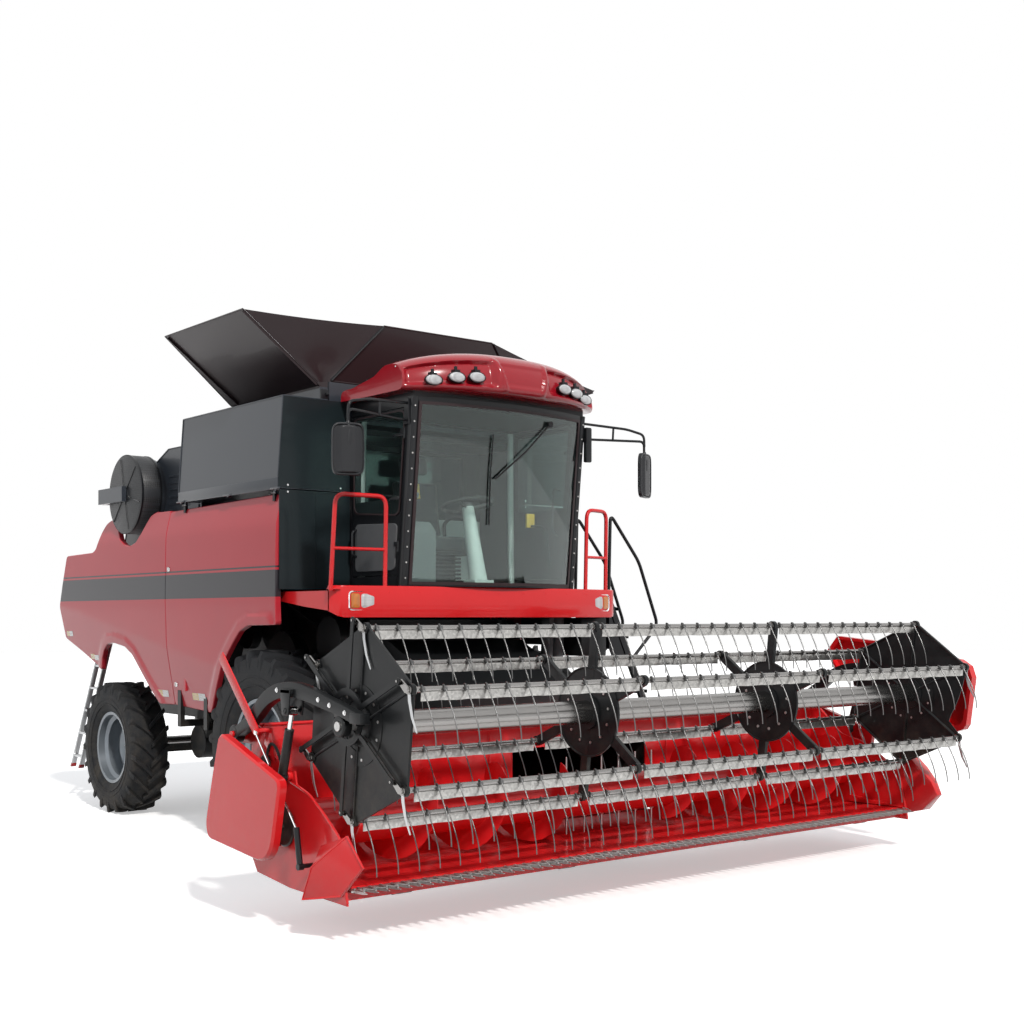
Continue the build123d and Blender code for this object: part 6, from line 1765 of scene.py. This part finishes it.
def drives():
    right = (((80, 1560, 170), (900, 1820, 240)), ((900, 1820, 130), (1850, 2160, 150)))
    left = (((60, 1600, 150), (1000, 1900, 230)), ((1000, 1900, 120), (1900, 1500, 170)))
    for s, where, runs in ((-1, "right", right), (1, "left", left)):
        belts, wheels = Stock(), Stock()
        for number, run in enumerate(runs):
            x0, x1 = sided(s, 742 + 60 * number, 790 + 60 * number)
            belt(belts, x0, x1, run)
            for y, z, r in run:
                wheels.turned([(x0 - 4, 20), (x0 - 4, r + 8), (x0, r + 8), (x0 + 3, r), (x1 - 3, r),
                    (x1, r + 8), (x1 + 4, r + 8), (x1 + 4, 20)], (0, y, z), sides=40)
                wheels.turned([(s * 700, 1), (s * 700, 22), (s * (800 + 60 * number), 22),
                    (s * (800 + 60 * number), 1)], (0, y, z), sides=16)
        belts.done("drive_belts_" + where, "belt_rubber", sharp=35)
        wheels.done("drive_pulleys_" + where, "frame_black", sharp=35)


def under_parts():
    """Hydraulic block, drain hoses and boxes on the chassis, and the tail lamps."""
    box = Stock()
    for s in (-1, 1):
        box.block(*sided(s, 640, 760), 1500, 1720, 1010, 1180)
    box.block(1130, 1424, -1000, -720, 1545, 1876)
    box.block(700, 790, -980, -700, 1650, 1876)
    box.done("battery_and_filter_boxes", "frame_black", bevel=10)
    ducts = Stock().pipe([(870, -860, 1878), (872, -850, 1700), (900, -800, 1420)], 52, sides=18, bend=120)
    ducts.pipe([(1010, -820, 1878), (1014, -810, 1640), (1040, -760, 1380)], 60, sides=18, bend=120)
    ducts.done("air_ducts", "trim_grey")
    drive = Stock().block(-960, -885, 1640, 2070, 590, 950)
    drive.turned([(-978, 1), (-978, 52), (-966, 66), (-955, 70), (-955, 1)], (0, 1960, 690), sides=32)
    drive.block(-890, -600, 1700, 1760, 880, 950)
    drive.block(-890, -600, 2000, 2060, 880, 950)
    drive.done("side_gearcase", "frame_black", bevel=10)
    tail = Stock()
    for s in (-1, 1):
        tail.block(*sided(s, 1180, 1380), 3929, 3948, 1900, 1990)
    tail.done("tail_lamps", "tail_lens", bevel=6)
    rims = Stock()
    for s in (-1, 1):
        rims.block(*sided(s, 1168, 1392), 3926, 3936, 1888, 2002)
    rims.done("tail_lamp_frames", "cab_black", bevel=4)
    lines = Stock()
    for s in (-1, 1):
        lines.pipe([(s * 610, -380, 1030), (s * 610, 400, 1016), (s * 612, 1300, 1016),
            (s * 612, 2500, 1016)], 9, sides=8, bend=60)
        lines.pipe([(s * 590, -380, 1040), (s * 590, 600, 1014), (s * 592, 2300, 1014)], 7, sides=8, bend=60)
    lines.done("pressure_lines", "belt_rubber")


drives()
under_parts()


# ---- finishes of the solids that keep their shape ----
COATS = {
    "side_red_painted_shade": "straw_hood",
    "tank_slate": "grain_tank engine_hood",
    "engine_grey": "engine",
    "cab_black": "cab_frame cab_door_left cab_door_right",
    "cab_glass": "cab_glass",
    "knife_steel": "tie_rod knife",
    "red_enamel": "header_frame reel_drive_guard unloading_auger",
    "chrome_rod": "lift_rods reel_lift_rods",
    "hatch_dark_red_reflection": "tank_flap_front tank_flap_rear tank_flap_left tank_flap_right",
}
COAT_OF = {node: finish for finish, nodes in COATS.items() for node in nodes.split()}
for node, solid in frame["nodes"].items():
    if not solid.hide_render:
        coat(node, COAT_OF.get(node, "frame_black"))


# ---- floor, light and camera ----
def seen_directly(tree):
    """1 for what the camera sees, straight or in metal and glass."""
    rays = add(tree, "LightPath").outputs
    straight = calc(tree, "MAXIMUM", rays["Is Camera Ray"], rays["Is Glossy Ray"])
    return calc(tree, "MAXIMUM", straight, rays["Is Transmission Ray"])


def floor_paint(tree):
    seen = seen_directly(tree)
    return {"Base Color": blend(tree, seen, (0.30, 0.30, 0.30, 1), (0.93, 0.93, 0.93, 1)), "Roughness": 0.9,
        "Specular IOR Level": 0.0, "Emission Color": (1, 1, 1, 1),
        "Emission Strength": calc(tree, "MULTIPLY", seen, 0.42)}


def studio():
    floor_mesh = bpy.data.meshes.new("studio_floor")
    floor_mesh.from_pydata([(-60, -60, 0), (60, -60, 0), (60, 60, 0), (-60, 60, 0)], [], [(0, 1, 2, 3)])
    floor_mesh.materials.append(material_of("pale_floor", floor_paint))
    linked("studio_floor", floor_mesh)
    world = bpy.data.worlds.new("studio")
    bpy.context.scene.world = world
    world.use_nodes = True
    tree = world.node_tree
    tree.nodes.clear()
    up = add(tree, "SeparateXYZ", {0: add(tree, "TexCoord").outputs["Generated"]}).outputs["Z"]
    soft = add(tree, "Background", {"Color": (0.93, 0.96, 1.0, 1),
        "Strength": spread(tree, up, 0.25, 0.60, -0.1, 0.9)})
    white = add(tree, "Background", {"Color": (1, 1, 1, 1), "Strength": 1.0})
    both = add(tree, "MixShader", {"Fac": seen_directly(tree), 1: soft.outputs[0], 2: white.outputs[0]})
    add(tree, "OutputWorld", {"Surface": both.outputs[0]})


def lamp(name, kind, where, aim, energy, size, colour):
    data = bpy.data.lights.new(name, kind)
    data.energy = energy
    data.color = colour
    setattr(data, "angle" if kind == "SUN" else "size", size)
    light = linked(name, data)
    light.location = place(*where)
    light.rotation_euler = (place(*aim) - place(*where)).to_track_quat("-Z", "Y").to_euler()


def camera():
    data = bpy.data.cameras.new("camera")
    data.lens, data.sensor_width, data.shift_y = 48.5, 36, 0.1025
    data.clip_end = 200
    data.dof.use_dof = False
    eye = linked("camera", data)
    eye.location = place(-6850, -9847, 1883)
    eye.rotation_euler = (pi / 2, 0, radians(-39.17))
    bpy.context.scene.camera = eye


studio()
lamp("sun", "SUN", (-4000, -13000, 13000), (0, 0, 1500), 2.4, 0.06, (1.0, 0.97, 0.93))
lamp("fill", "AREA", (-13000, 1000, 6000), (0, 500, 1500), 160, 7.0, (0.95, 0.98, 1.0))
camera()
bpy.context.scene.view_settings.view_transform = "Standard"
